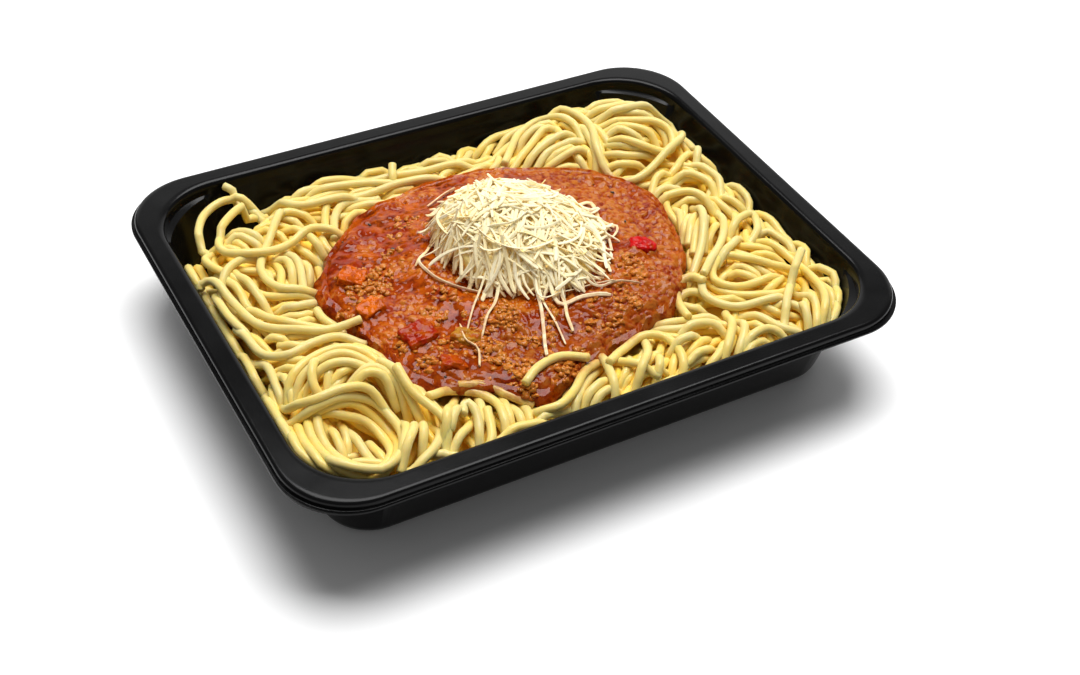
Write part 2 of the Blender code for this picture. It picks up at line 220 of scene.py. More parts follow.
NEST = (
    ((-94, -57), (-87, -59), (-78, -59), (-71, -62)),
    ((-85, -45), (-85, -52), (-88, -60)),
    ((-89, -47), (-89, -55), (-90, -64)),
    ((-84, -48), (-83, -57), (-82, -67), (-78, -73)),
    ((-78, -50), (-79, -58), (-78, -70)),
    ((-94, -65), (-87, -66), (-80, -70), (-76, -74)),
    ((-85, -43), (-80, -48), (-75, -52), (-71, -58)),
    ((-97, -34), (-94, -29), (-85, -24), (-76, -23), (-68, -27), (-64, -36), (-63, -48)),
    ((-96, -36), (-90, -30), (-80, -28), (-71, -33), (-66, -42), (-64, -56)),
    ((-93, -36), (-87, -33), (-78, -34), (-70, -40), (-67, -48)),
    ((-86, -45), (-79, -41), (-70, -40), (-65, -47), (-65, -56)),
    ((-81, -45), (-75, -42), (-69, -44), (-67, -51)),
    ((-82, -26), (-86, -30), (-89, -37), (-86, -45)),
    ((-96, -38), (-98, -46), (-99, -56), (-97, -67), (-91, -75), (-83, -77)),
    ((-93, -40), (-96, -50), (-96, -60), (-94, -69), (-88, -75), (-80, -76)),
    ((-90, -41), (-93, -50), (-93, -60), (-91, -68), (-85, -73), (-78, -72), (-73, -66)),
    ((-94, -43), (-85, -47), (-78, -50), (-75, -56), (-75, -63), (-78, -69), (-84, -72)),
    ((-97, -43), (-90, -45), (-79, -46), (-73, -52), (-72, -61), (-76, -70), (-82, -75), (-88, -75)),
    ((-100, -41), (-92, -45), (-81, -45), (-73, -48), (-70, -57), (-72, -66), (-78, -74), (-87, -76),
     (-94, -70), (-96, -60)),
    ((-98, -33), (-97, -39), (-91, -44), (-82, -44), (-74, -46), (-70, -53)),
)
DEEP_IN_NEST = 7
FRONT_LEFT = (
    ((-68, -56), (-70, -64), (-77, -75)),
    ((-65, -58), (-69, -67), (-78, -77)),
    ((-63, -58), (-65, -66), (-71, -76)),
    ((-66, -36), (-64, -46), (-63, -56), (-61, -62)),
    ((-66, -73), (-61, -77), (-55, -77)),
    ((-61, -60), (-60, -67), (-66, -74), (-77, -79)),
    ((-58, -54), (-57, -63), (-62, -75)),
    ((-64, -44), (-63, -53), (-59, -61), (-58, -68), (-62, -75)),
    ((-47, -52), (-54, -61), (-61, -73)),
    ((-42, -52), (-50, -61), (-58, -70)),
    ((-61, -76), (-53, -70), (-43, -61)),
    ((-41, -55), (-43, -62), (-49, -72)),
    ((-51, -65), (-48, -61), (-47, -67), (-52, -79)),
    ((-52, -80), (-46, -75), (-42, -64)),
    ((-34, -61), (-33, -68), (-35, -76)),
    ((-30, -62), (-30, -69), (-33, -77)),
    ((-37, -55), (-35, -62), (-38, -75)),
    ((-58, -55), (-50, -52), (-42, -55), (-38, -62), (-39, -70), (-42, -78)),
    ((-46, -52), (-38, -55), (-33, -61), (-27, -67)),
)
FRONT = (
    ((-45, -76), (-36, -75), (-22, -77)),
    ((-31, -75), (-23, -74), (-15, -73)),
    ((-14, -75), (-8, -71), (2, -68)),
    ((-12, -77), (-5, -73), (3, -73)),
    ((0, -76), (12, -77), (27, -76)),
    ((5, -73), (12, -72), (21, -72)),
    ((20, -66), (17, -72), (13, -76)),
    ((5, -58), (7, -65), (15, -75)),
    ((-19, -79), (-14, -72), (-6, -65), (2, -60)),
    ((-29, -72), (-22, -74), (-14, -70), (-6, -63), (4, -59)),
    ((22, -55), (16, -66), (9, -73), (3, -78)),
    ((3, -54), (2, -63), (0, -71), (-3, -79)),
    ((2, -65), (11, -59), (20, -56), (27, -60), (27, -70), (22, -79)),
)
FRONT_RIGHT = (
    ((24, -66), (30, -65), (39, -64)),
    ((43, -43), (45, -48), (50, -52)),
    ((25, -52), (33, -57), (49, -59)),
    ((25, -49), (34, -53), (46, -54), (54, -60)),
    ((27, -73), (35, -71), (43, -68)),
    ((30, -61), (37, -59), (45, -61), (49, -68)),
    ((47, -67), (40, -73), (31, -77)),
    ((47, -77), (55, -73), (63, -74)),
    ((56, -58), (55, -66), (44, -77)),
    ((58, -62), (61, -68), (62, -75)),
    ((70, -60), (77, -63), (80, -71)),
    ((80, -62), (78, -70), (75, -77)),
    ((82, -57), (85, -65), (77, -78)),
    ((48, -74), (55, -71), (62, -71), (68, -79)),
    ((93, -45), (92, -56), (88, -68), (82, -77)),
    ((86, -24), (91, -38), (92, -50), (89, -65), (80, -76)),
    ((67, -36), (73, -39), (76, -48)),
    ((66, -38), (70, -42), (75, -49)),
    ((42, -43), (48, -42), (54, -46)),
    ((56, -57), (63, -63), (67, -72), (78, -78)),
    ((54, -40), (51, -48), (57, -56), (68, -58), (81, -61)),
    ((54, -56), (51, -64), (45, -71), (38, -78)),
    ((53, -43), (51, -38), (45, -39), (41, -46), (40, -54)),
    ((92, -49), (84, -45), (75, -38), (69, -33), (61, -37), (58, -43), (63, -48), (73, -49), (85, -50)),
    ((90, -48, 40), (82, -55, 39), (75, -62), (68, -71)),
)
RIGHT_SIDE = (
    ((77, -2), (68, -9), (62, -16)),
    ((80, -4), (70, -10), (62, -20)),
    ((79, -7), (69, -15), (60, -26)),
    ((84, -22), (73, -30), (63, -36)),
    ((84, -11), (75, -16), (66, -25)),
    ((78, -9), (71, -16), (64, -27)),
    ((77, 0), (73, -11), (64, -25), (53, -36)),
    ((87, 1), (92, -6), (94, -13)),
    ((86, -24), (94, -24), (97, -32), (95, -42)),
    ((77, -22), (86, -16), (94, -14), (90, -23), (82, -28)),
    ((84, -5), (80, -16), (70, -27), (54, -41)),
    ((62, 6), (71, 7), (79, 4), (83, -8)),
)
BACK_RIGHT = (
    ((34, 41), (45, 42), (58, 41)),
    ((34, 44), (44, 48), (60, 46)),
    ((29, 45), (39, 50), (50, 52), (59, 49)),
    ((26, 48), (36, 54), (47, 60), (54, 56)),
    ((33, 58), (42, 63), (52, 62)),
    ((60, 40), (65, 34), (81, 28)),
    ((57, 33), (65, 30), (75, 27)),
    ((62, 43), (70, 35), (84, 28)),
    ((62, 60), (72, 58), (84, 56), (93, 50)),
    ((63, 62), (76, 63), (88, 59)),
    ((66, 57), (78, 52), (92, 46)),
    ((64, 48), (73, 45), (81, 38), (82, 30)),
    ((64, 45), (71, 43), (79, 33)),
    ((65, 52), (76, 48), (86, 42), (89, 35), (84, 28), (76, 30), (69, 37), (63, 44)),
    ((60, 60), (59, 48), (57, 38), (53, 30)),
    ((25, 51), (33, 60), (42, 69), (50, 72), (56, 66), (57, 56), (57, 47)),
    ((86, 22), (91, 17), (93, 8), (89, -1)),
    ((92, 28), (95, 21), (99, 14)),
    ((66, 12), (72, 18), (79, 19)),
    ((64, 9), (71, 12), (81, 8)),
    ((74, 15), (83, 14), (88, 7), (87, -2)),
    ((65, 55), (78, 52), (92, 54), (101, 51), (101, 41), (98, 30), (89, 17)),
    ((52, 70), (60, 70), (62, 60), (61, 48), (57, 37), (57, 26), (64, 21), (76, 24), (90, 31), (97, 40),
     (97, 48)),
)
# These lie on the sauce's edge.
OVER_SAUCE = (
    ((-104, 35), (-98, 34), (-95, 20), (-92, 5), (-85, -4), (-76, -10), (-62, -12)),
    ((-28, -63), (-21, -59), (-12, -57), (-3, -60)),
)
STRAND_GROUPS = (
    BACK_RUN, BACK_LEFT, LEFT_SIDE, NEST, FRONT_LEFT, FRONT, FRONT_RIGHT, RIGHT_SIDE, BACK_RIGHT,
)

# Single shreds of cheese that lie on the sauce, bottom first: spots (x, y)
STRAY_SHREDS = (
    ((-33, 4), (-33, -4), (-30, -11), (-22, -20)),
    ((-34, -29), (-36, -37), (-34, -42), (-37, -49)),
    ((-26, -24), (-31, -30), (-34, -34)),
    ((-20, -27), (-25, -31), (-30, -37)),
    ((-7, -34), (-11, -44), (-17, -57)),
    ((-6, -36), (-6, -44), (-7, -52)),
    ((1, -36), (-1, -42), (-2, -48)),
    ((36, 7), (34, -3), (30, -13)),
    ((14, -35), (22, -35), (31, -37)),
    ((-1, -37), (8, -37), (17, -40)),
    ((-6, -34), (8, -33), (22, -35)),
    ((-35, 3), (-30, 6), (-25, 11)),
    ((-16, 33), (-9, 36), (-3, 37)),
    ((-17, 29), (-11, 25), (-4, 22)),
    ((-21, 24), (-16, 20), (-12, 13)),
    ((-12, 33), (-8, 27), (-7, 19)),
    ((-28, 16), (-23, 14), (-16, 14)),
    ((37, 2), (31, 0), (26, 5)),
    ((31, 13), (29, 6), (23, 2)),
    ((38, -8), (34, -13), (27, -15)),
)

# ------------------------------------------------------------------ mince and flecks

# How many different crumbs and flecks are made and then repeated
MINCE_KINDS = 8
SPECK_KINDS = 3
# Where the middles of the clumps may lie, along X and Y
CLUMP_X = (-70, 68)
CLUMP_Y = (-70, 52)
CLUMP_SPREAD = (1.2, 3.4)
# Clumps crowd in patches of this size, less so to the back and to the right
CLUMP_PATCH = 12
CLUMP_SHARE = 0.22
CLUMP_BACK = 110
CLUMP_RIGHT = (20.0, 60)
# How far clumps and crumbs keep inside the sauce's edge, and clumps from the cheese's middle
CLUMP_INSIDE = 2.0
CRUMB_INSIDE = 0.8
CHEESE_ROOM = 20
SMALLEST_CRUMB = 0.6
# The one large fleck, and where the small ones may lie, inside the sauce's edge
LARGE_FLECK = (-37, 17)
FLECK_X = (-64, 62)
FLECK_Y = (-62, 46)
FLECK_INSIDE = 4.0

# ------------------------------------------------------------------ vegetable pieces, their sizes and colours

# node: slot, half sizes in mm, turn in degrees, flesh, skin, share under sauce, how far it's sunk in mm
VEGETABLES = {
    "red_pepper_piece": (
        "red_pepper", (4.6, 3.1, 2.2), (6, 4, -29), (0.50, 0.006, 0.005), (0.34, 0.003, 0.003), 0.0, 1.0,
    ),
    "carrot_cube": (
        "carrot", (4.4, 3.8, 3.0), (10, -8, 15), (0.60, 0.125, 0.001), (0.50, 0.085, 0.001), 0.13, 2.4,
    ),
    "carrot_piece": (
        "carrot", (4.6, 4.0, 2.6), (4, 8, -35), (0.58, 0.110, 0.002), (0.48, 0.075, 0.002), 0.15, 2.1,
    ),
    "tomato_piece_1": (
        "tomato", (5.6, 4.4, 2.8), (6, -4, 10), (0.34, 0.018, 0.001), (0.26, 0.010, 0.001), 0.14, 2.0,
    ),
    "tomato_piece_2": (
        "tomato", (4.4, 3.4, 2.4), (-12, 14, -20), (0.36, 0.014, 0.001), (0.26, 0.008, 0.001), 0.28, 2.6,
    ),
    "onion_piece": (
        "onion", (4.2, 3.2, 2.2), (8, 6, -50), (0.42, 0.20, 0.02), (0.36, 0.14, 0.010), 0.08, 1.2,
    ),
}
VEGETABLE_BEVEL = 1.3
# How far a piece's faces swell and dent, and how far the sauce rises round it
VEGETABLE_NOISE = 0.95
VEGETABLE_SWELL = 1.1

# ------------------------------------------------------------------ mound of cheese

MOUND_CENTRE = (0.0, -1.0)
MOUND_REACH = 27.0
MOUND_LEAN = (-6.5, 3.5)
# How the foot's reach swells round the mound: share, waves in a turn, and their start
MOUND_SWELLS = ((0.13, 1, 0.9), (0.07, 2, 1.5), (0.04, 5, 0.0))
MOUND_ROUNDNESS = 0.66
# How much lower than the solid the shreds' bed and the core are, to leave room for the shreds
BED_BELOW = 2.6
CORE_BELOW = 2.8
# The core's reach as a share of the mound's, its faces, and the heights of its foot and its bottom
MOUND_CORE_SHARE = 0.96
MOUND_SPOKES = 96
MOUND_LEVELS = 20
MOUND_FOOT = 38.5
MOUND_BOTTOM = 37.5
SHRED_PACE = 0.8
SHRED_THICK = 0.55
# Smallest and largest shred, as shares of the width and thickness that are set
SHRED_SIZES = (0.62, 1.12)
# Half the height that each shred takes up where another lies across it
SHRED_ROOM = 0.4
FEWEST_POINTS = 8
# The first shreds are short and fill the mound, and the last ones lie loosely on top
FILLING_SHARE = 0.35
TOP_SHARE = 0.6
# How far a shred may stand above the solid, and how far an end curls up at most
HIGHEST_OVER = 2.2
MOST_CURL = 3.0
# Strays start under the mound, this share of the way to its middle, and lie this high on the sauce
STRAY_START = 0.28
STRAY_LIFT = 0.4
SOAKED_BELOW = 43.0

# ------------------------------------------------------------------ stage, in metres

FLOOR_SIZE = 8.0
KEY_PLACE, KEY_SIZE = (0.25, 0.37, 1.55), (1.3, 1.0)
BACKDROP_PLACE, BACKDROP_SIZE = (0.85, 1.47, 0.64), (3.0, 1.28)
BACKDROP_TARGET = (0.0, 0.0, 0.64)
CAMERA_PLACE = (-0.21662, -0.38154, 0.38211)
# In degrees, and the sensor in millimetres
CAMERA_TURN = (48.615, -2.715, -28.819)
SENSOR_WIDTH = 36.0


# ------------------------------------------------------------------ settings

def colour_setting(name, description, default):
    return FloatVectorProperty(
        name=name, description=description, subtype="COLOR", size=4, min=0.0, max=1.0,
        default=(*default, 1.0),
    )


class TrayMealTray(bpy.types.PropertyGroup):
    corner_steps: IntProperty(name="Corner Steps", description="Faces round each corner", default=22, min=4)
    round_steps: IntProperty(
        name="Round Steps", description="Faces across each rounded edge", default=5, min=2
    )
    plastic: colour_setting("Plastic", "Colour of the tray", (0.0022, 0.0022, 0.0023))


class TrayMealPasta(bpy.types.PropertyGroup):
    thickness: FloatProperty(
        name="Strand Thickness", description="Diameter of a cooked strand, in mm", default=3.0, min=1.0
    )
    core_depth: FloatProperty(
        name="Core Depth", description="How far the core stays under the heap's top, in mm", default=8.0
    )
    filler_tries: IntProperty(
        name="Filler Tries", description="Strands tried below the top ones", default=1500
    )
    seed: IntProperty(name="Seed", description="Another seed lays the lower strands otherwise", default=11)
    light: colour_setting("Light", "Colour of the strands' skin", (0.735, 0.63, 0.272))
    # Painted warm shade for strands low in the heap and for the core, and also golden patches at random
    gold_shade_and_tone: colour_setting("Gold", "Colour of the deeper and wetter strands", (0.91, 0.65, 0.09))


class TrayMealSauce(bpy.types.PropertyGroup):
    crumbs: IntProperty(
        name="Mince Crumbs", description="How many crumbs of mince lie in the sauce", default=1000
    )
    specks: IntProperty(
        name="Specks", description="How many flecks of pepper and herb there are", default=34
    )
    red: colour_setting("Red", "Colour of the liquid sauce", (0.25, 0.019, 0.0004))
    orange: colour_setting("Orange", "Colour of the thinner, fattier sauce", (0.43, 0.080, 0.0010))
    mince: colour_setting("Mince", "Colour of the cooked mince", (0.50, 0.165, 0.020))


class TrayMealCheese(bpy.types.PropertyGroup):
    shreds: IntProperty(name="Shreds", description="How many shreds the mound has", default=700)
    width: FloatProperty(name="Shred Width", description="Width of a shred, in mm", default=1.35)
    seed: IntProperty(name="Seed", description="Another seed tangles the mound otherwise", default=5)
    cream: colour_setting("Cream", "Colour of the cheese", (0.97, 0.885, 0.62))
    # Painted warm shade between the shreds and on the core under them, also used a little at random
    deep: colour_setting("Deep", "Colour between the shreds", (1.0, 0.80, 0.26))


class TrayMealStage(bpy.types.PropertyGroup):
    key_power: FloatProperty(name="Key Power", description="Power of the large light above", default=40.0)
    fill: FloatProperty(name="Fill", description="Brightness of the surrounding studio", default=0.22)
    backdrop_power: FloatProperty(
        name="Backdrop Power", description="Power of the pale backdrop", default=13.0
    )
    lens: FloatProperty(name="Lens", description="Focal length on a 36 mm sensor", default=53.257)


# ------------------------------------------------------------------ materials

class Finish:
    """A material built node by node around one Principled shader, on object coordinates in millimetres."""

    def __init__(self, name, **sockets):
        self.material = bpy.data.materials.new(name)
        self.material.use_nodes = True
        self.tree = self.material.node_tree
        self.shader = self.tree.nodes["Principled BSDF"]
        for socket, value in sockets.items():
            self.shader.inputs[socket.replace("_", " ")].default_value = value
        self.place = self.tree.nodes.new("ShaderNodeTexCoord").outputs["Object"]

    def add(self, kind, **links):
        node = self.tree.nodes.new(kind)
        for socket, value in links.items():
            self.set(node.inputs[socket.replace("_", " ")], value)
        return node

    def set(self, socket, value):
        if isinstance(value, bpy.types.NodeSocket):
            self.tree.links.new(value, socket)
        else:
            socket.default_value = value

    def noise(self, size, detail=2.0, roughness=0.5):
        """Soft noise whose lumps are about a size in millimetres across."""
        node = self.add(
            "ShaderNodeTexNoise", Vector=self.place, Scale=1.0 / (size * MM), Detail=detail,
            Roughness=roughness,
        )
        return node.outputs["Fac"]

    def attribute(self, name):
        node = self.tree.nodes.new("ShaderNodeAttribute")
        node.attribute_name = name
        return node.outputs["Fac"]

    def math(self, operation, first, second=0.0, clamp=False):
        node = self.tree.nodes.new("ShaderNodeMath")
        node.operation = operation
        node.use_clamp = clamp
        self.set(node.inputs[0], first)
        self.set(node.inputs[1], second)
        return node.outputs[0]

    def span(self, value, low, high, first=0.0, last=1.0):
        """Maps a value from low..high to first..last, and stops at both ends."""
        node = self.add("ShaderNodeMapRange", Value=value)
        for socket, limit in (("From Min", low), ("From Max", high), ("To Min", first), ("To Max", last)):
            node.inputs[socket].default_value = limit
        return node.outputs["Result"]

    def uneven(self, size, first, last):
        """Noise spread from a first to a last value."""
        return self.span(self.noise(size), 0.3, 0.7, first, last)

    def mix(self, share, first, second):
        node = self.tree.nodes.new("ShaderNodeMix")
        node.data_type = "RGBA"
        self.set(node.inputs[0], share)
        self.set(node.inputs[6], first)
        self.set(node.inputs[7], second)
        return node.outputs[2]

    def bump(self, height, depth, below=None):
        """Relief of a depth in millimetres on top of any relief below it."""
        node = self.add("ShaderNodeBump", Height=height, Distance=depth * MM, Strength=1.0)
        if below is not None:
            self.set(node.inputs["Normal"], below)
        return node.outputs["Normal"]

    def shade(self, **links):
        for socket, value in links.items():
            self.set(self.shader.inputs[socket.replace("_", " ")], value)
        return self.material


def colour(value, factor=1.0):
    """A setting's colour times a factor, as a shader reads it."""
    return (value[0] * factor, value[1] * factor, value[2] * factor, 1.0)


def plastic_finish(settings):
    finish = Finish("tray_black_plastic", IOR=1.5, Specular_IOR_Level=0.13)
    smear = finish.noise(26.0, 3.0)
    grain = finish.noise(0.5)
    roughness = finish.span(smear, 0.3, 0.7, 0.17, 0.25)
    tint = finish.mix(smear, colour(settings.plastic, 0.8), colour(settings.plastic, 1.25))
    wave = finish.bump(finish.noise(14.0, 1.0), 0.10)
    return finish.shade(
        Base_Color=tint, Roughness=roughness, Normal=finish.bump(grain, 0.012, wave)
    )


def pasta_finish(name, settings, sauce, wet):
    """Skin with a painted golden shade low in the heap and golden patches at random, and stained by the sauce
    near its edge.
    """
    finish = Finish(
        name, IOR=1.42, Subsurface_Weight=0.5, Subsurface_Scale=0.0008, Subsurface_Radius=(1.0, 0.7, 0.35),
        Coat_Weight=wet, Coat_Roughness=0.15, Specular_IOR_Level=0.2, Diffuse_Roughness=0.6,
    )
    patches = finish.span(finish.noise(5.0, 3.0), 0.35, 0.75, 0.0, 0.3)
    share = finish.math("ADD", finish.attribute("tint"), patches, clamp=True)
    # The tint attribute and the patches mix in the golden colour: painted shade deep in the heap, and a
    # random tone
    skin = finish.mix(share, colour(settings.light), colour(settings.gold_shade_and_tone))
    broken = finish.span(finish.noise(2.4, 3.0), 0.32, 0.62)
    stain = finish.math("MULTIPLY", finish.attribute("stain"), finish.math("ADD", broken, 0.35), clamp=True)
    film = finish.mix(finish.noise(3.0), colour(sauce.orange), colour(sauce.red, 1.3))
    roughness = finish.uneven(1.6, 0.34, 0.52)
    relief = finish.bump(finish.noise(0.9, 3.0), 0.07, finish.bump(finish.noise(3.5, 1.0), 0.22))
    return finish.shade(
        Base_Color=finish.mix(finish.math("MULTIPLY", stain, 0.85), skin, film),
        Roughness=roughness, Normal=relief,
    )


def sauce_finish(settings):
    """Red and orange pools, grains of meat that stand out of them, and painted shade in the crevices between
    the grains.
    """
    finish = Finish(
        "meat_sauce", IOR=1.36, Subsurface_Weight=0.15, Subsurface_Scale=0.001,
        Subsurface_Radius=(1.0, 0.35, 0.15), Coat_Weight=0.65, Coat_Roughness=0.03, Coat_IOR=1.33,
        Specular_IOR_Level=0.0,
    )
    pools = finish.span(finish.noise(8.0, 3.0, 0.6), 0.38, 0.62)
    liquid = finish.mix(pools, colour(settings.red), colour(settings.orange))
    grain = finish.math("ADD", finish.attribute("grain"), finish.uneven(1.1, -0.25, 0.25))
    meaty = finish.mix(finish.span(grain, 0.35, 0.85, 0.0, 0.8), liquid, colour(settings.mince))
    # Painted shade: a darker red in the crevices between the grains
    between = finish.span(grain, 0.02, 0.30, 0.75, 0.0)
    crevice_shade = finish.math("MULTIPLY", between, finish.span(finish.noise(3.4), 0.42, 0.62), clamp=True)
    shaded = finish.mix(crevice_shade, meaty, colour(settings.red, 0.40))
    deep = finish.span(finish.attribute("tint"), 0.0, 1.0, 0.0, 0.42)
    body = finish.mix(deep, shaded, colour(settings.red, 0.45))
    fine = finish.bump(finish.noise(0.7, 3.0), 0.12)
    lumps = finish.bump(finish.noise(1.3), 0.42, fine)
    return finish.shade(
        Base_Color=body, Roughness=finish.span(grain, 0.0, 1.0, 0.24, 0.42), Normal=lumps
    )


def mince_finish(settings):
    """Crumbs that are golden on top and soaked in sauce towards their foot."""
    finish = Finish(
        "cooked_mince", IOR=1.4, Coat_Weight=1.0, Coat_Roughness=0.04, Coat_IOR=1.33, Subsurface_Weight=0.3,
        Subsurface_Scale=0.0006, Specular_IOR_Level=0.0,
    )
    soaking = finish.math("ADD", finish.attribute("tint"), finish.uneven(1.3, -0.3, 0.3))
    liquid = finish.mix(finish.noise(4.0), colour(settings.orange), colour(settings.red))
    meat = finish.mix(finish.noise(2.5), colour(settings.mince, 1.3), colour(settings.mince, 0.65))
    relief = finish.bump(finish.noise(0.6, 3.0), 0.22)
    return finish.shade(
        Base_Color=finish.mix(finish.span(soaking, 0.0, 1.0), meat, liquid),
        Roughness=finish.uneven(1.0, 0.3, 0.5), Normal=relief,
    )


def vegetable_finish(name, flesh, skin, settings, film):
    """Soft wet flesh under a patchy film of sauce that covers a share of it."""
    finish = Finish(
        name, IOR=1.38, Coat_Weight=0.5, Coat_Roughness=0.04, Coat_IOR=1.33, Specular_IOR_Level=0.0,
        Subsurface_Weight=0.2, Subsurface_Scale=0.001, Subsurface_Radius=(1.0, 0.4, 0.2),
    )
    body = finish.mix(finish.span(finish.noise(1.8, 3.0), 0.35, 0.65), colour(flesh), colour(skin))
    cover = finish.span(finish.noise(3.4, 3.0), 0.60 - film, 0.72 - film, 0.0, 0.85)
    liquid = finish.mix(finish.noise(3.0), colour(settings.red), colour(settings.orange))
    relief = finish.bump(finish.noise(0.8), 0.12, finish.bump(finish.noise(2.2), 0.3))
    return finish.shade(
        Base_Color=finish.mix(cover, body, liquid),
        Roughness=finish.uneven(1.2, 0.26, 0.42), Normal=relief,
    )


def speck_finish():
    finish = Finish("pepper_flecks", IOR=1.45, Coat_Weight=0.4, Coat_Roughness=0.1)
    tint = finish.mix(finish.noise(0.5), (0.012, 0.008, 0.006, 1.0), (0.05, 0.03, 0.012, 1.0))
    return finish.shade(Base_Color=tint, Roughness=0.5, Normal=finish.bump(finish.noise(0.2), 0.1))


def cheese_finish(settings):
    """Cream on top, a painted warm shade between the shreds, and soaked near the sauce."""
    finish = Finish("grated_cheese", IOR=1.42, Specular_IOR_Level=0.15, Diffuse_Roughness=0.3)
    # The tint attribute mixes in the deep colour: painted shade between the shreds, with a little random tone
    tint = finish.attribute("tint")
    pale = finish.mix(tint, colour(settings.cream), colour(settings.deep))
    soaked = finish.math("MULTIPLY", finish.attribute("stain"), finish.span(finish.noise(2.0), 0.3, 0.6))
    body = finish.mix(soaked, pale, (0.72, 0.36, 0.15, 1.0))
    relief = finish.bump(finish.noise(0.45, 3.0), 0.07, finish.bump(finish.noise(1.4), 0.12))
    return finish.shade(Base_Color=body, Roughness=finish.uneven(1.0, 0.42, 0.62), Normal=relief)


# ------------------------------------------------------------------ numbers and outlines

def smooth_step(value):
    """Goes gently from 0 to 1 with the value, and stays there beyond."""
    value = np.clip(value, 0.0, 1.0)
    return value * value * (3.0 - 2.0 * value)


def rounded_loop(points, passes=3):
    """A closed outline whose corners are cut by halves until it runs round."""
    loop = np.array(points, float)
    for _ in range(passes):
        after = np.roll(loop, -1, axis=0)
        loop = np.stack([loop * 0.75 + after * 0.25, loop * 0.25 + after * 0.75], 1).reshape(-1, 2)
    return loop


def distance_inside(loop, x, y):
    """How far each spot lies inside a closed outline, negative outside."""
    nearest = np.full(np.shape(x), 1e9)
    inside = np.zeros(np.shape(x), bool)
    for (x0, y0), (x1, y1) in zip(loop, np.roll(loop, -1, axis=0)):
        run = np.array((x1 - x0, y1 - y0))
        share = np.clip(((x - x0) * run[0] + (y - y0) * run[1]) / (run @ run), 0.0, 1.0)
        nearest = np.minimum(nearest, np.hypot(x - x0 - share * run[0], y - y0 - share * run[1]))
        crosses = (y0 > y) != (y1 > y)
        height = np.where(crosses, y1 - y0, 1.0)
        inside ^= crosses & (x < x0 + (y - y0) / height * run[0])
    return np.where(inside, nearest, -nearest)


def noise_at(x, y, size, seed):
    """Soft noise from -1 to 1 at each spot, with lumps of a size in millimetres."""
    spots = np.column_stack((np.ravel(x) / size, np.ravel(y) / size))
    values = [noise.noise((u, v, seed * 7.31)) for u, v in spots.tolist()]
    return np.reshape(values, np.shape(x))


def crumbs_at(x, y, size, seed):
    """Rounded lumps from 0 to 1, one in each cell of a size in millimetres."""
    spots = np.column_stack((np.ravel(x) / size, np.ravel(y) / size)).tolist()
    away = np.array([noise.voronoi((u, v, seed * 3.7))[0][0] for u, v in spots])
    return np.reshape(np.sqrt(np.clip(1.0 - (away / 0.62) ** 2, 0.0, 1.0)), np.shape(x))


def wall_inset(height):
    """How far the inner wall stands in from the tray's edge at a height."""
    return WALL_INSET + DRAFT * (TRAY_HIGH.z - RIM_FILLET - height)


GRID_X = np.arange(TRAY_LOW.x, TRAY_HIGH.x, CELL)
GRID_Y = np.arange(TRAY_LOW.y, TRAY_HIGH.y, CELL)
PLAN_X, PLAN_Y = np.meshgrid(GRID_X, GRID_Y)


def grid_cell(x, y):
    """Row and column of the grid's point that is nearest to each spot."""
    column = np.rint((x - GRID_X[0]) / CELL).astype(int)
    row = np.rint((y - GRID_Y[0]) / CELL).astype(int)
    return row, column


class Field:
    """A number for each spot of the tray's plan: a height or a distance, in millimetres."""

    def __init__(self, values):
        self.values = values

    def at(self, x, y):
        """The field between its grid's points, at one or many spots."""
        column = np.clip((np.asarray(x, float) - GRID_X[0]) / CELL, 0, len(GRID_X) - 1.001)
        row = np.clip((np.asarray(y, float) - GRID_Y[0]) / CELL, 0, len(GRID_Y) - 1.001)
        left = column.astype(int)
        low = row.astype(int)
        across = column - left
        up = row - low
        grid = self.values
        near = grid[low, left] * (1 - across) + grid[low, left + 1] * across
        far = grid[low + 1, left] * (1 - across) + grid[low + 1, left + 1] * across
        return near * (1 - up) + far * up


def blurred(values, width):
    """A field smoothed by a bell of a width in millimetres."""
    reach = int(3 * width / CELL)
    bell = np.exp(-0.5 * (np.arange(-reach, reach + 1) * CELL / width) ** 2)
    bell /= bell.sum()
    for axis in (0, 1):
        padded = np.pad(values, [(reach, reach) if side == axis else (0, 0) for side in (0, 1)], mode="edge")
        values = np.apply_along_axis(lambda line: np.convolve(line, bell, "valid"), axis, padded)
    return values


def top_of(node):
    """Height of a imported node's upper surface over the plan, and 0 where it isn't."""
    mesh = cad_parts[node].data
    tree = BVHTree.FromPolygons(
        [vertex.co / MM for vertex in mesh.vertices], [tuple(face.vertices) for face in mesh.polygons]
    )
    coarse = np.zeros((len(GRID_Y) // 2 + 1, len(GRID_X) // 2 + 1))
    for row, y in enumerate(GRID_Y[::2]):
        for column, x in enumerate(GRID_X[::2]):
            hit = tree.ray_cast(Vector((x, y, 100.0)), Vector((0.0, 0.0, -1.0)))[0]
            coarse[row, column] = hit.z if hit else 0.0
    return np.repeat(np.repeat(coarse, 2, axis=0), 2, axis=1)[:len(GRID_Y), :len(GRID_X)]


# ------------------------------------------------------------------ laying strands on each other

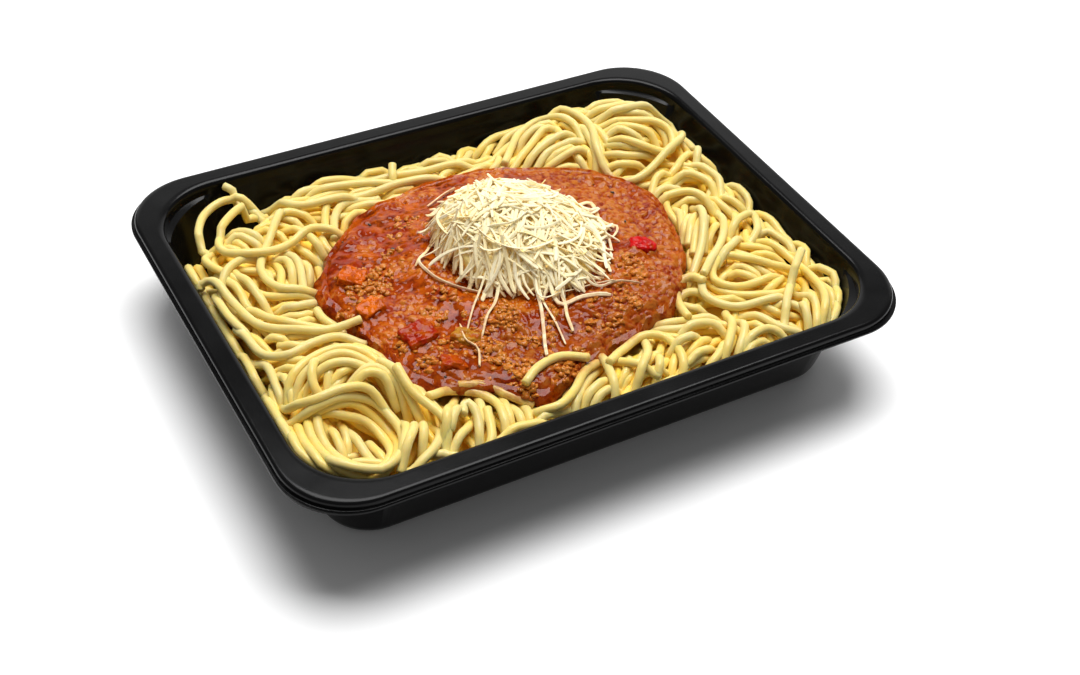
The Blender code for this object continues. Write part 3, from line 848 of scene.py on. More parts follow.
class Pile:
    """What has been laid so far: a height for each spot, on which the next strand comes to rest."""

    def __init__(self, heights):
        self.top = Field(heights.copy())

    def disc(self, x, y, radius):
        """Rows, columns and the strand's round underside, under each point of a strand."""
        reach = int(radius / CELL)
        offsets = np.arange(-reach, reach + 1)
        across, up = [part.ravel() for part in np.meshgrid(offsets, offsets)]
        away = (across ** 2 + up ** 2) * CELL ** 2
        kept = away < radius ** 2
        row, column = grid_cell(x, y)
        column = np.clip(column[:, None] + across[kept], 0, len(GRID_X) - 1)
        row = np.clip(row[:, None] + up[kept], 0, len(GRID_Y) - 1)
        return row, column, np.sqrt(radius ** 2 - away[kept])

    def rest(self, x, y, radius, squash, passes):
        """Heights at which a strand's centre line settles: held up by the high spots, bending softly."""
        row, column, cap = self.disc(x, y, radius)
        touch = (self.top.values[row, column] + cap).max(axis=1)
        height = touch.copy()
        for _ in range(passes):
            height = np.maximum(touch - squash, softened(height))
        for _ in range(passes // 8):
            height = softened(height)
        return height

    def add(self, x, y, z, radius):
        row, column, cap = self.disc(x, y, radius)
        np.maximum.at(self.top.values, (row, column), z[:, None] + cap)


def softened(line):
    """Each number drawn towards its neighbours."""
    padded = np.pad(line, 2, mode="reflect", reflect_type="odd")
    return (padded[:-4] + 2 * padded[1:-3] + 3 * padded[2:-2] + 2 * padded[3:-1] + padded[4:]) / 9


def smooth_route(spots, pace):
    """A smooth route through a few spots, with points a pace apart, and the heights that it is given."""
    flat = np.array([spot[:2] for spot in spots], float)
    knots = np.vstack((2 * flat[0] - flat[1], flat, 2 * flat[-1] - flat[-2]))
    share = np.linspace(0.0, 1.0, ROUTE_STEPS, endpoint=False)[:, None]
    pieces = []
    for before, start, end, after in zip(knots, knots[1:], knots[2:], knots[3:]):
        pieces.append(0.5 * (
            2 * start + (end - before) * share
            + (2 * before - 5 * start + 4 * end - after) * share ** 2
            + (3 * start - before - 3 * end + after) * share ** 3
        ))
    line = np.vstack(pieces + [flat[-1:]])
    walked = np.concatenate(([0.0], np.cumsum(np.hypot(*np.diff(line, axis=0).T))))
    count = max(4, int(round(walked[-1] / pace)) + 1)
    even = np.linspace(0.0, walked[-1], count)
    x = np.interp(even, walked, line[:, 0])
    y = np.interp(even, walked, line[:, 1])
    given = [(walked[ROUTE_STEPS * index], spot[2]) for index, spot in enumerate(spots) if len(spot) > 2]
    held = np.full(count, -1e9)
    if given:
        places, heights = zip(*given)
        between = (even >= places[0] - 1e-6) & (even <= places[-1] + 1e-6)
        held[between] = np.interp(even, places, heights)[between]
    return x, y, held


def keep_in_tray(x, y, height, radius):
    """Moves spots that would cut the tray's wall just inside it."""
    wall = wall_inset(height)
    half_x = TRAY_HIGH.x - wall - radius - WALL_GAP
    half_y = TRAY_HIGH.y - wall - radius - WALL_GAP
    corner = np.interp(wall, *np.transpose(CORNER_RADII)) - radius
    side_x = np.maximum(np.abs(x) - (half_x - corner), 0.0)
    side_y = np.maximum(np.abs(y) - (half_y - corner), 0.0)
    away = np.maximum(np.hypot(side_x, side_y), 1e-6)
    # The ledge draws the wall inwards at each corner, most of all at its own height
    heights = (FLOOR_FILLET, LEDGE_HEIGHT, LEDGE_HEIGHT + radius, LEDGE_HEIGHT + 2 * radius)
    ledge = np.interp(height, heights, (0.0, LEDGE_DEPTH, LEDGE_DEPTH, 0.0))
    pull = np.minimum(1.0, (corner - ledge * 2.0 * side_x * side_y / away ** 2) / away)
    new_x = np.where(side_x > 0, np.sign(x) * (half_x - corner + side_x * pull), x)
    new_y = np.where(side_y > 0, np.sign(y) * (half_y - corner + side_y * pull), y)
    return new_x, new_y


class Heap:
    """The whole heap, laid once: the lower strands, the top strands, the sauce and what lies on it."""

    PACE = 1.0
    # How far a strand presses into those below, and how often its line is softened
    SQUASH = 0.5
    BEND_PASSES = 36
    # A lower strand starts and ends at most this far inside the sauce's edge
    START_UNDER = 7.0
    END_UNDER = 9.0
    # Spots tried at once, the least room above one, and the least spots and length of a strand
    PICKS = 24
    LEAST_ROOM = 1.6
    FEWEST_SPOTS = 6
    SHORTEST = 16.0
    # How far it runs each way, and in radians how far it strays from the flow, sways and turns at most
    REACH = (20.0, 60.0)
    STRAYING = 0.40
    STEP = 2.0
    SWAY = 0.35
    SWAY_PACE = 0.22
    MOST_TURN = 0.17
    # Points over which an end goes down, and how far: a lower strand's and a top one's
    LOWER_DIP = (8, 4.0)
    UPPER_DIP = (9, 4.2)
    # How far an end goes down under the sauce or this near to it
    SAUCE_DIP = 0.8
    SAUCE_NEAR = 7.0
    # A top strand lies at most this far below the height allowed
    LOWEST_BELOW = 9.0

    def __init__(self, pasta):
        self.radius = pasta.thickness / 2
        self.random = np.random.default_rng(pasta.seed)
        self.loop = rounded_loop(SAUCE_OUTLINE)
        self.depth = Field(distance_inside(self.loop, PLAN_X, PLAN_Y))
        raw = top_of("spaghetti")
        self.inside = raw > 1.0
        self.target = Field(self.filled(raw))
        self.allowed = Field(self.allowed_heights())
        under_top = np.minimum(self.target.values - pasta.core_depth, self.allowed.values - CORE_COVER)
        self.core = Field(np.maximum(CORE_LOWEST, under_top))
        self.pile = Pile(self.core.values)
        hand_laid = [spots for group in STRAND_GROUPS for spots in group]
        self.flow = self.flow_field(hand_laid + list(OVER_SAUCE))
        self.covered = Field(self.covered_heights(hand_laid))
        self.lower = self.lay_lower(pasta.filler_tries)
        deep = set(NEST[:DEEP_IN_NEST])
        self.upper = [self.lay(spots, held_up=spots not in deep) for spots in hand_laid]
        self.skin = Field(blurred(self.pile.top.values, 2.0))
        self.sauce_top = Field(self.sauce_heights())
        self.pile.top.values = np.maximum(self.pile.top.values, self.sauce_top.values)
        self.upper += [self.lay(spots, on_sauce=True) for spots in OVER_SAUCE]

    def filled(self, raw):
        """The heap's top, read on level over the sauce's basin and a little way past the heap's foot."""
        basin = self.depth.values > 1.5
        seen = (raw > 1.0) & ~basin
        known = blurred(seen.astype(float), 4.0)
        spread = blurred(np.where(seen, raw, 0.0), 4.0) / np.maximum(known, 1e-3)
        unseen = np.where(known > 0.02, spread, np.where(basin, BASIN_HEIGHT, 1.0))
        return np.where(seen, raw, unseen)

    def allowed_heights(self):
        """How high strands may stand: the heap's top, but lower in its empty places and under the sauce."""
        allowed = self.target.values.copy()
        self.bridge = Field(blurred(allowed, 3.0) - 1.6)
        allowed -= 3.5 * smooth_step(self.depth.values / 5.0)
        for x, y, radius_x, radius_y, height in GAPS:
            away = np.hypot((PLAN_X - x) / radius_x, (PLAN_Y - y) / radius_y)
            lowered = height + (allowed - height) * smooth_step((away - 0.75) / 0.5)
            allowed = np.minimum(allowed, lowered)
        return allowed

    def covered_heights(self, strands):
        """How high the lower strands may stand, with room left for the top ones."""
        cover = np.zeros_like(PLAN_X)
        for spots in strands:
            x, y, _ = smooth_route(spots, CELL)
            row, column = grid_cell(x, y)
            cover[np.clip(row, 0, len(GRID_Y) - 1), np.clip(column, 0, len(GRID_X) - 1)] = 1.0
        near = np.clip(blurred(cover, 1.6) * 3.2, 0.0, 1.0)
        return self.allowed.values - 0.8 - 3.4 * near

    def flow_field(self, strands):
        """Direction of the nearest top strands at each spot of a coarse plan, as a doubled angle."""
        routes = [smooth_route(spots, 2.0)[:2] for spots in strands]
        places = np.vstack([np.column_stack(route) for route in routes])
        turns = np.concatenate([2 * np.arctan2(np.gradient(y), np.gradient(x)) for x, y in routes])
        grid_x, grid_y = [np.arange(low, high + 1.0, FLOW_STEP) for low, high in zip(FLOW_LOW, FLOW_HIGH)]
        plan = np.stack(np.meshgrid(grid_x, grid_y), -1).reshape(-1, 1, 2)
        weight = np.exp(-((plan - places[None]) ** 2).sum(-1) / (2 * FLOW_WIDTH ** 2))
        shape = (len(grid_y), len(grid_x))
        along = 2 * np.arctan2(plan[:, 0, 0] * 0.6, -plan[:, 0, 1])
        cosine = (weight * np.cos(turns)).sum(1) + 0.1 * np.cos(along)
        sine = (weight * np.sin(turns)).sum(1) + 0.1 * np.sin(along)
        return cosine.reshape(shape), sine.reshape(shape)

    def flow_at(self, x, y):
        rows, columns = self.flow[0].shape
        column = min(max(int(round((x - FLOW_LOW[0]) / FLOW_STEP)), 0), columns - 1)
        row = min(max(int(round((y - FLOW_LOW[1]) / FLOW_STEP)), 0), rows - 1)
        return math.atan2(self.flow[1][row, column], self.flow[0][row, column]) / 2

    def wander(self, x, y, heading, offset, length):
        """Walks along the flow from a spot, a little off its direction, bending gently."""
        spots = [(x, y)]
        phase = self.random.uniform(0.0, 6.28)
        for index in range(int(length / self.STEP)):
            sway = self.SWAY * math.sin(index * self.SWAY_PACE + phase)
            wanted = self.flow_at(x, y) + offset + sway
            turn = (wanted - heading + math.pi / 2) % math.pi - math.pi / 2
            heading += min(max(turn, -self.MOST_TURN), self.MOST_TURN)
            x += self.STEP * math.cos(heading)
            y += self.STEP * math.sin(heading)
            new_x, new_y = keep_in_tray(np.array(x), np.array(y), LOWER_HEIGHT, self.radius)
            x, y = float(new_x), float(new_y)
            if self.depth.at(x, y) > self.END_UNDER:
                break
            spots.append((x, y))
        return spots

    def lay_lower(self, tries):
        """Strands below the top ones, tried one by one where the heap is still low."""
        laid = []
        rows, columns = np.nonzero(self.inside & (self.depth.values < self.START_UNDER))
        for _ in range(tries):
            picks = self.random.integers(0, len(rows), self.PICKS)
            room = (self.covered.values - self.pile.top.values)[rows[picks], columns[picks]]
            best = picks[np.argmax(room)]
            if room.max() < self.LEAST_ROOM:
                continue
            x, y = GRID_X[columns[best]], GRID_Y[rows[best]]
            heading = self.flow_at(x, y)
            offset = self.random.normal(0.0, self.STRAYING)
            reach = self.random.uniform(*self.REACH)
            ahead = self.wander(x, y, heading + offset, offset, reach)
            behind = self.wander(x, y, heading + offset + math.pi, offset, reach)
            spots = behind[::-1] + ahead[1:]
            if len(spots) < self.FEWEST_SPOTS:
                continue
            strand = self.lay_if_room(spots)
            if strand is not None:
                laid.append(strand)
        return laid

    def lay_if_room(self, spots):
        """Lays the longest stretch of a route on which the strand stays under the allowed height."""
        few = spots[::3] + spots[-1:] if (len(spots) - 1) % 3 else spots[::3]
        x, y, _ = smooth_route(few, self.PACE)
        z = self.pile.rest(x, y, self.radius, self.SQUASH, self.BEND_PASSES)
        x, y = keep_in_tray(x, y, z, self.radius)
        fits = z + self.radius < self.covered.at(x, y) + 1.0
        start, end = longest_run(fits)
        if (end - start) * self.PACE < self.SHORTEST:
            return None
        x, y, z = x[start:end], y[start:end], z[start:end]
        reach, depth = self.LOWER_DIP
        self.dip(z, reach, depth, depth)
        return self.settled(x, y, z)

    def settled(self, x, y, z):
        """Adds a strand to the pile, clear of the tray's floor and walls, and gives its route."""
        z = np.maximum(z, SHEET + self.radius + FLOOR_GAP)
        x, y = keep_in_tray(x, y, z, self.radius)
        self.pile.add(x, y, z, self.radius)
        return np.column_stack((x, y, z))

    def dip(self, z, reach, first, last):
        """Lowers a strand's two ends, so that they go under their neighbours."""
        reach = min(reach, len(z) // 3)
        slope = 1.0 - smooth_step(np.arange(reach) / reach)
        z[:reach] -= first * slope
        z[-reach:] -= last * slope[::-1]

    def end_dip(self, spot):
        """How far a strand's end goes down: little where its height is given or the sauce covers it."""
        if len(spot) > 2:
            return 0.0
        return self.SAUCE_DIP if self.depth.at(*spot) > -self.SAUCE_NEAR else self.UPPER_DIP[1]

    def lay(self, spots, on_sauce=False, held_up=True):
        """Lays a top strand through its spots, whose ends go down into the heap or under the sauce."""
        x, y, held = smooth_route(spots, self.PACE)
        x, y = keep_in_tray(x, y, UPPER_HEIGHT, self.radius)
        z = self.pile.rest(x, y, self.radius, self.SQUASH, self.BEND_PASSES)
        z = np.maximum(z, held)
        if held_up:
            z = np.maximum(z, self.bridge.at(x, y) - self.radius)
        if not on_sauce:
            self.dip(z, self.UPPER_DIP[0], self.end_dip(spots[0]), self.end_dip(spots[-1]))
            depth = self.depth.at(x, y)
            ceiling = self.level_at(x, y) - self.radius - 0.7
            z = np.where(depth > 0, z + (np.minimum(z, ceiling) - z) * smooth_step(depth / 3.0), z)
        z = np.maximum(z, self.allowed.at(x, y) - self.LOWEST_BELOW)
        return self.settled(x, y, z)

    def level_at(self, x, y):
        """The sauce's own level, before lumps: flat under the cheese and lower towards its edge."""
        away = np.hypot(x - CHEESE_MIDDLE.x, y - CHEESE_MIDDLE.y)
        return SAUCE_LEVEL - SAUCE_DROP * smooth_step((away - PLATEAU) / PLATEAU_BLEND)

    def grains(self, x, y):
        """How far grains of mince stand out of the sauce, from 0 to 1, crowded in some places."""
        crowd = smooth_step(0.62 + 1.2 * noise_at(x, y, 13.0, 3) + (x - y * 0.4) / 150.0)
        return np.maximum(crumbs_at(x, y, 2.7, 5), 0.6 * crumbs_at(x, y, 1.6, 6)) * crowd

    def swell(self, x, y):
        """How far the sauce rises round the vegetables in it."""
        most = np.zeros(np.shape(x))
        for node in VEGETABLES:
            low, high = node_box(node)
            middle = (low + high) / 2
            half = (high - low) / 2
            away = np.hypot((x - middle.x) / half.x, (y - middle.y) / half.y)
            most = np.maximum(most, VEGETABLE_SWELL * smooth_step((1.6 - away) / 0.9))
        return most

    def surface(self, x, y, depth):
        """Top of the sauce at spots a given depth inside its edge."""
        low = np.minimum(self.bed.at(x, y) + 0.4, self.level_at(x, y) - 1.6)
        rise = np.sqrt(1.0 - (1.0 - np.clip(depth / SAUCE_ROUND, 0.0, 1.0)) ** 2)
        lumps = 0.9 * noise_at(x, y, 12.0, 1) + 0.55 * noise_at(x, y, 5.0, 2)
        ripples = 0.50 * noise_at(x, y, 3.1, 4) + 0.24 * noise_at(x, y, 1.7, 7)
        level = self.level_at(x, y) - 0.7
        relief = (lumps + ripples + 0.95 * self.grains(x, y)) * smooth_step(0.25 + depth / 3.0)
        return low + (level - low) * rise + relief + self.swell(x, y)

    def sauce_heights(self):
        """The sauce's top over the plan, and 0 outside it; it rests on the strands below."""
        self.bed = Field(blurred(self.pile.top.values, 1.8))
        wet = self.depth.values > 0.0
        heights = np.zeros_like(PLAN_X)
        heights[wet] = self.surface(PLAN_X[wet], PLAN_Y[wet], self.depth.values[wet])
        return heights


def longest_run(flags):
    """Start and end of the longest stretch of true values."""
    edges = np.flatnonzero(np.diff(np.concatenate(([0], flags.astype(int), [0]))))
    if not len(edges):
        return 0, 0
    starts, ends = edges[::2], edges[1::2]
    best = np.argmax(ends - starts)
    return starts[best], ends[best]


HEAP = {}


def heap(scene):
    """The heap is laid on first use and then shared by the operators."""
    if "laid" not in HEAP:
        HEAP["laid"] = Heap(scene.meal_pasta)
    return HEAP["laid"]


# ------------------------------------------------------------------ modelling helpers

def deselect_all():
    if bpy.context.object and bpy.context.object.mode != "OBJECT":
        bpy.ops.object.mode_set(mode="OBJECT")
    bpy.ops.object.select_all(action="DESELECT")


def select_only(piece):
    deselect_all()
    piece.select_set(True)
    bpy.context.view_layer.objects.active = piece


def leave_edit_mode():
    """Turns every face outwards and goes back to object mode."""
    bpy.ops.mesh.select_all(action="SELECT")
    bpy.ops.mesh.normals_make_consistent(inside=False)
    bpy.ops.object.mode_set(mode="OBJECT")


def apply_modifier(piece, kind, **values):
    modifier = piece.modifiers.new(kind.title(), kind)
    for name, value in values.items():
        setattr(modifier, name, value)
    bpy.context.view_layer.objects.active = piece
    bpy.ops.object.modifier_apply(modifier=modifier.name)


def finish_piece(piece, material, replaced=(), angle=None):
    """The piece's place goes into its mesh, and it gets its shading, material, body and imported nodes."""
    select_only(piece)
    bpy.ops.object.transform_apply(location=True, rotation=True, scale=True)
    if angle is None:
        bpy.ops.object.shade_smooth()
    else:
        bpy.ops.object.shade_smooth_by_angle(angle=math.radians(angle))
    piece.data.materials.clear()
    piece.data.materials.append(material)
    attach(piece, "root")
    if replaced:
        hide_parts(*replaced)


def drawn_up(name, rings, close="FILL"):
    """A body drawn up ring by ring: a filled ring of points whose edge is extruded to each next ring."""
    count = len(rings[0])
    deselect_all()
    bpy.ops.mesh.primitive_circle_add(vertices=count, radius=0.05, fill_type="NGON")
    piece = bpy.context.object
    piece.name = name
    spot = piece.data.attributes.new("spot", "INT", "POINT")
    spot.data.foreach_set("value", np.arange(count, dtype=np.int32))
    bpy.ops.object.mode_set(mode="EDIT")
    bpy.ops.mesh.select_mode(type="EDGE")
    bpy.ops.mesh.select_all(action="SELECT")
    for step, ring in enumerate(rings):
        if step:
            bpy.ops.mesh.extrude_edges_move()
        mesh = bmesh.from_edit_mesh(piece.data)
        layer = mesh.verts.layers.int["spot"]
        for vertex in mesh.verts:
            if vertex.select:
                vertex.co = Vector(ring[vertex[layer]]) * MM
        bmesh.update_edit_mesh(piece.data)
    if close == "FILL":
        bpy.ops.mesh.edge_face_add()
    else:
        bpy.ops.mesh.merge(type="CENTER")
    leave_edit_mode()
    piece.data.attributes.remove(piece.data.attributes["spot"])
    return piece


def swept(name, routes, sides, depth=None, profile=None, tilts=None, sizes=None, narrow=0.7):
    """Strands along many routes: one curve with a round or a given profile, turned into one mesh.

    Each route may have its own tilts and its own share of the profile's size, and its ends are narrowed.
    """
    curve = bpy.data.curves.new(name, "CURVE")
    curve.dimensions = "3D"
    curve.twist_mode = "Z_UP"
    if profile is None:
        curve.bevel_depth = depth * MM
        curve.bevel_resolution = sides // 2 - 2
    else:
        curve.bevel_mode = "OBJECT"
        curve.bevel_object = profile
    for index, route in enumerate(routes):
        spline = curve.splines.new("POLY")
        spline.points.add(len(route) - 1)
        flat = np.column_stack((route * MM, np.ones(len(route))))
        spline.points.foreach_set("co", flat.ravel())
        widths = np.full(len(route), 1.0 if sizes is None else sizes[index])
        widths[[0, -1]] *= narrow
        spline.points.foreach_set("radius", widths)
        spline.use_smooth = True
        if tilts is not None:
            spline.points.foreach_set("tilt", tilts[index])
    piece = bpy.data.objects.new(name, curve)
    bpy.context.scene.collection.objects.link(piece)
    select_only(piece)
    bpy.ops.object.convert(target="MESH")
    piece = bpy.context.object
    expected = sum(len(route) for route in routes) * sides
    if len(piece.data.vertices) != expected:
        raise RuntimeError(f"{name} has {len(piece.data.vertices)} points, not {expected}")
    bpy.ops.object.mode_set(mode="EDIT")
    bpy.ops.mesh.select_all(action="SELECT")
    bpy.ops.mesh.fill_holes(sides=sides)
    leave_edit_mode()
    return piece


def set_attribute(piece, name, values):
    """One number for each point of a piece, or the same for all."""
    layer = piece.data.attributes.new(name, "FLOAT", "POINT")
    layer.data.foreach_set("value", np.full(len(piece.data.vertices), values, np.float32))


def points_of(piece):
    flat = np.empty(len(piece.data.vertices) * 3, np.float32)
    piece.data.vertices.foreach_get("co", flat)
    return flat.reshape(-1, 3) / MM


def thinned(route, pace):
    """Every so many points of a route, always with its last one."""
    kept = np.arange(0, len(route), pace)
    if kept[-1] != len(route) - 1:
        kept = np.append(kept, len(route) - 1)
    return route[kept]


def with_ends(route, length):
    """A route with one more point a short length beyond each end, for the rounded ends."""
    first = route[0] - route[1]
    last = route[-1] - route[-2]
    start = route[0] + first / np.linalg.norm(first) * length
    end = route[-1] + last / np.linalg.norm(last) * length
    return np.vstack((start, route, end))


# ------------------------------------------------------------------ tray

def between(table, place):
    """The value at a place between a table's rows of place and value."""
    for (low, first), (high, second) in zip(table, table[1:]):
        if place <= high:
            share = max(0.0, (place - low) / (high - low))
            return first + (second - first) * share
    return table[-1][1]


def tray_ring(inset, height, ledge, steps):
    """A ring of the tray: a rounded rectangle whose corners a ledge flattens inwards."""
    half_x = TRAY_HIGH.x - inset
    half_y = TRAY_HIGH.y - inset
    radius = between(CORNER_RADII, inset)
    ring = []
    for quarter, (side_x, side_y) in enumerate(((1, 1), (-1, 1), (-1, -1), (1, -1))):
        for step in range(steps + 1):
            turn = math.pi / 2 * step / steps
            angle = turn + quarter * math.pi / 2
            pull = ledge * math.sin(2 * turn) * math.sqrt(0.5)
            ring.append((
                side_x * (half_x - radius - pull) + radius * math.cos(angle),
                side_y * (half_y - radius - pull) + radius * math.sin(angle),
                height,
            ))
    return ring


def rounded(before, corner, after, length, steps):
    """Points that round a profile's corner, with one more on each flat side to keep it flat."""
    back = (before - corner).normalized() * length
    ahead = (after - corner).normalized() * length
    start = corner + back
    end = corner + ahead
    shares = [step / steps for step in range(steps + 1)]
    curve = [start * (1 - s) ** 2 + corner * 2 * s * (1 - s) + end * s ** 2 for s in shares]
    return [start + back * 0.18, *curve, end + ahead * 0.18]


def tray_rows(steps):
    """Inset, height and ledge depth of each ring, from the inner floor over the rim to the underside."""
    top = TRAY_HIGH.z
    lip_top = LIP_HEIGHT + LIP_THICKNESS
    outer_wall = SHEET * math.hypot(1.0, DRAFT)
    middle = Vector((TRAY_HIGH.y, SHEET))
    floor_corner = Vector((wall_inset(SHEET), SHEET))
    rim_corner = Vector((WALL_INSET, top))
    skirt_corner = Vector((SKIRT_INSET, top))
    lip_corner = Vector((SKIRT_INSET, lip_top))
    lip_edge = Vector((0.0, lip_top))
    upper_ledge = LEDGE_HEIGHT + LEDGE_STEP

    def on_wall(height, out=0.0):
        return Vector((wall_inset(height) - out, height))

    rows = [(point, 0.0) for point in rounded(middle, floor_corner, rim_corner, FLOOR_FILLET, steps)]
    rows += [(on_wall(LEDGE_HEIGHT), LEDGE_DEPTH), (on_wall(upper_ledge), 0.0)]
    rows += [(p, 0.0) for p in rounded(on_wall(upper_ledge), rim_corner, skirt_corner, RIM_FILLET, steps)]
    rows += [(p, 0.0) for p in rounded(rim_corner, skirt_corner, lip_corner, RIM_ROUND, steps)]
    rows += [(p, 0.0) for p in rounded(skirt_corner, lip_corner, lip_edge, LIP_FILLET, 3)]
    rows += [(lip_edge, 0.0), (Vector((0.0, LIP_HEIGHT)), 0.0)]
    under_skirt = SKIRT_INSET + SHEET
    rows += [(Vector((under_skirt, LIP_HEIGHT)), 0.0), (Vector((under_skirt, top - SHEET)), 0.0)]
    rows += [(Vector((WALL_INSET - RIM_FILLET, top - SHEET)), 0.0)]
    rows += [(on_wall(top - RIM_FILLET - SHEET, outer_wall), 0.0)]
    rows += [(on_wall(upper_ledge - SHEET, outer_wall), 0.0)]
    rows += [(on_wall(LEDGE_HEIGHT - SHEET, outer_wall), LEDGE_DEPTH)]
    under_corner = on_wall(0.0, outer_wall)
    under_middle = Vector((TRAY_HIGH.y, 0.0))
    outer_top = on_wall(LEDGE_HEIGHT, outer_wall)
    rows += [(p, 0.0) for p in rounded(outer_top, under_corner, under_middle, FLOOR_FILLET, steps)]
    return rows


def make_tray(scene):
    settings = scene.meal_tray
    rows = tray_rows(settings.round_steps)
    rings = [tray_ring(point.x, point.y, ledge, settings.corner_steps) for point, ledge in rows]
    piece = drawn_up("black_tray", rings)
    finish_piece(piece, plastic_finish(settings), ("tray",), angle=38)


# ------------------------------------------------------------------ spaghetti

def make_core(scene):
    """The pressed inside of the heap, seen only in the gaps between the strands."""
    laid = heap(scene)
    inside = Field(laid.inside.astype(float))
    reach = np.arange(20.0, 120.0, CELL)
    edge = []
    for step in range(CORE_SPOKES):
        angle = 2 * math.pi * step / CORE_SPOKES
        held = inside.at(reach * math.cos(angle), reach * math.sin(angle)) > 0.5
        edge.append((math.cos(angle), math.sin(angle), reach[held].max() - CORE_MARGIN))
    rings = [[(c * r * share, s * r * share, height) for c, s, r in edge] for share, height in CORE_FOOT]
    for share in CORE_SHARES:
        ring = []
        for c, s, r in edge:
            x, y = c * r * share, s * r * share
            height = float(laid.core.at(x, y)) - (CORE_EDGE_DROP if share == 1.0 else 0.0)
            highest = CORE_UNDER_SAUCE if share < UNDER_SAUCE_SHARE else height
            ring.append((x, y, max(CORE_TOP_LOWEST, min(height, highest))))
        rings.append(ring)
    piece = drawn_up("spaghetti_core", rings)
    # The core is fully golden: painted shade of the heap's depths that show through the gaps
    set_attribute(piece, "tint", 1.0)
    set_attribute(piece, "stain", 0.0)
    material = pasta_finish("pasta_core", scene.meal_pasta, scene.meal_sauce, wet=0.1)
    finish_piece(piece, material)


def strand_piece(name, routes, scene, sides, pace, seed, gold_shade_and_tone):
    """One mesh of many strands, each with its own tint and a painted golden shade where it lies deep in the
    heap, stained where it lies near the sauce.
    """
    random = np.random.default_rng(seed)
    settings = scene.meal_pasta
    laid = heap(scene)
    routes = [with_ends(thinned(route, pace), 0.35) for route in routes]
    piece = swept(name, routes, sides, depth=settings.thickness / 2)
    own = np.concatenate([np.full(len(route) * sides, random.uniform(0.0, 0.35)) for route in routes])
    x, y, z = points_of(piece).T
    # Tint: a random tone for each strand, a set extra share for lower strands, and painted golden shade the
    # deeper a point lies under the heap's skin
    sunk = laid.skin.at(x, y) - z
    set_attribute(piece, "tint", own + gold_shade_and_tone + 0.75 * smooth_step((sunk + 0.6) / 5.0))
    patchy = 1.5 * noise_at(x, y, 7.0, 9)
    reached = smooth_step((laid.level_at(x, y) + 2.0 - z) / 3.0)
    stained = smooth_step((laid.depth.at(x, y) + 2.6 + patchy) / 4.5)
    set_attribute(piece, "stain", stained * reached * MOST_STAIN)
    return piece


def make_spaghetti(scene):
    laid = heap(scene)
    # The lower strands get more painted golden shade than the top ones
    under = strand_piece("spaghetti_lower", laid.lower, scene, sides=8, pace=3, seed=21, gold_shade_and_tone=0.1)
    over = strand_piece("spaghetti_strands", laid.upper, scene, sides=12, pace=2, seed=22, gold_shade_and_tone=0.0)
    material = pasta_finish("cooked_pasta", scene.meal_pasta, scene.meal_sauce, wet=0.3)
    finish_piece(under, material)
    finish_piece(over, material, ("spaghetti",))


# ------------------------------------------------------------------ sauce

def make_sauce(scene):
    laid = heap(scene)
    centre = np.array(SAUCE_MIDDLE)
    outline = np.array(laid.loop)
    angles = np.arctan2(outline[:, 1] - centre[1], outline[:, 0] - centre[0])
    reaches = np.hypot(outline[:, 0] - centre[0], outline[:, 1] - centre[1])
    order = np.argsort(angles)
    turn = np.linspace(-math.pi, math.pi, SAUCE_SPOKES, endpoint=False)
    reach = np.interp(turn, angles[order], reaches[order], period=2 * math.pi)
    way = np.column_stack((np.cos(turn), np.sin(turn)))

    def ring(share, height):
        spots = centre + way * (reach * share)[:, None]
        return [(x, y, height) for x, y in spots.tolist()]

    # From the bottom up to the edge, then over the top to the middle, with the rings closest at the edge
    shares = 1.0 - np.linspace(0.0, 1.0, SAUCE_RINGS, endpoint=False) ** 1.35
    rings = [ring(0.80, SAUCE_BOTTOM), ring(0.90, SAUCE_BOTTOM + 1.0), ring(0.985, SAUCE_LEVEL - SAUCE_SKIRT)]
    rings += [ring(share, SAUCE_LEVEL) for share in shares]
    piece = drawn_up("meat_sauce", rings, close="POLE")
    apply_modifier(piece, "SUBSURF", subdivision_type="SIMPLE", levels=2, render_levels=2)
    points = points_of(piece).astype(float)
    x, y = points[:, 0], points[:, 1]
    depth = laid.depth.at(x, y)
    fringe = 2.0 * noise_at(x, y, 9.0, 12) + 0.9 * noise_at(x, y, 3.5, 13)
    outward = np.column_stack((x, y)) - centre
    outward /= np.maximum(np.hypot(*outward.T), 1e-6)[:, None]
    near = (1.0 - smooth_step(depth / FRINGE_DEPTH)) * fringe
    top = points[:, 2] > SAUCE_LEVEL - SAUCE_SKIRT - 0.01
    points[:, 0] += outward[:, 0] * near
    points[:, 1] += outward[:, 1] * near
    surface = laid.surface(points[top, 0], points[top, 1], np.maximum(depth[top], 0.0))
    points[top, 2] += surface - SAUCE_LEVEL
    piece.data.vertices.foreach_set("co", (points * MM).astype(np.float32).ravel())
    piece.data.update()
    set_attribute(piece, "grain", laid.grains(points[:, 0], points[:, 1]))
    front = smooth_step((DARK_FRONT[0] - points[:, 1]) / DARK_FRONT[1])
    right = smooth_step((points[:, 0] - DARK_RIGHT[0]) / DARK_RIGHT[1])
    set_attribute(piece, "tint", np.maximum(front, RIGHT_SHARE * right))
    finish_piece(piece, sauce_finish(scene.meal_sauce), ("sauce",))


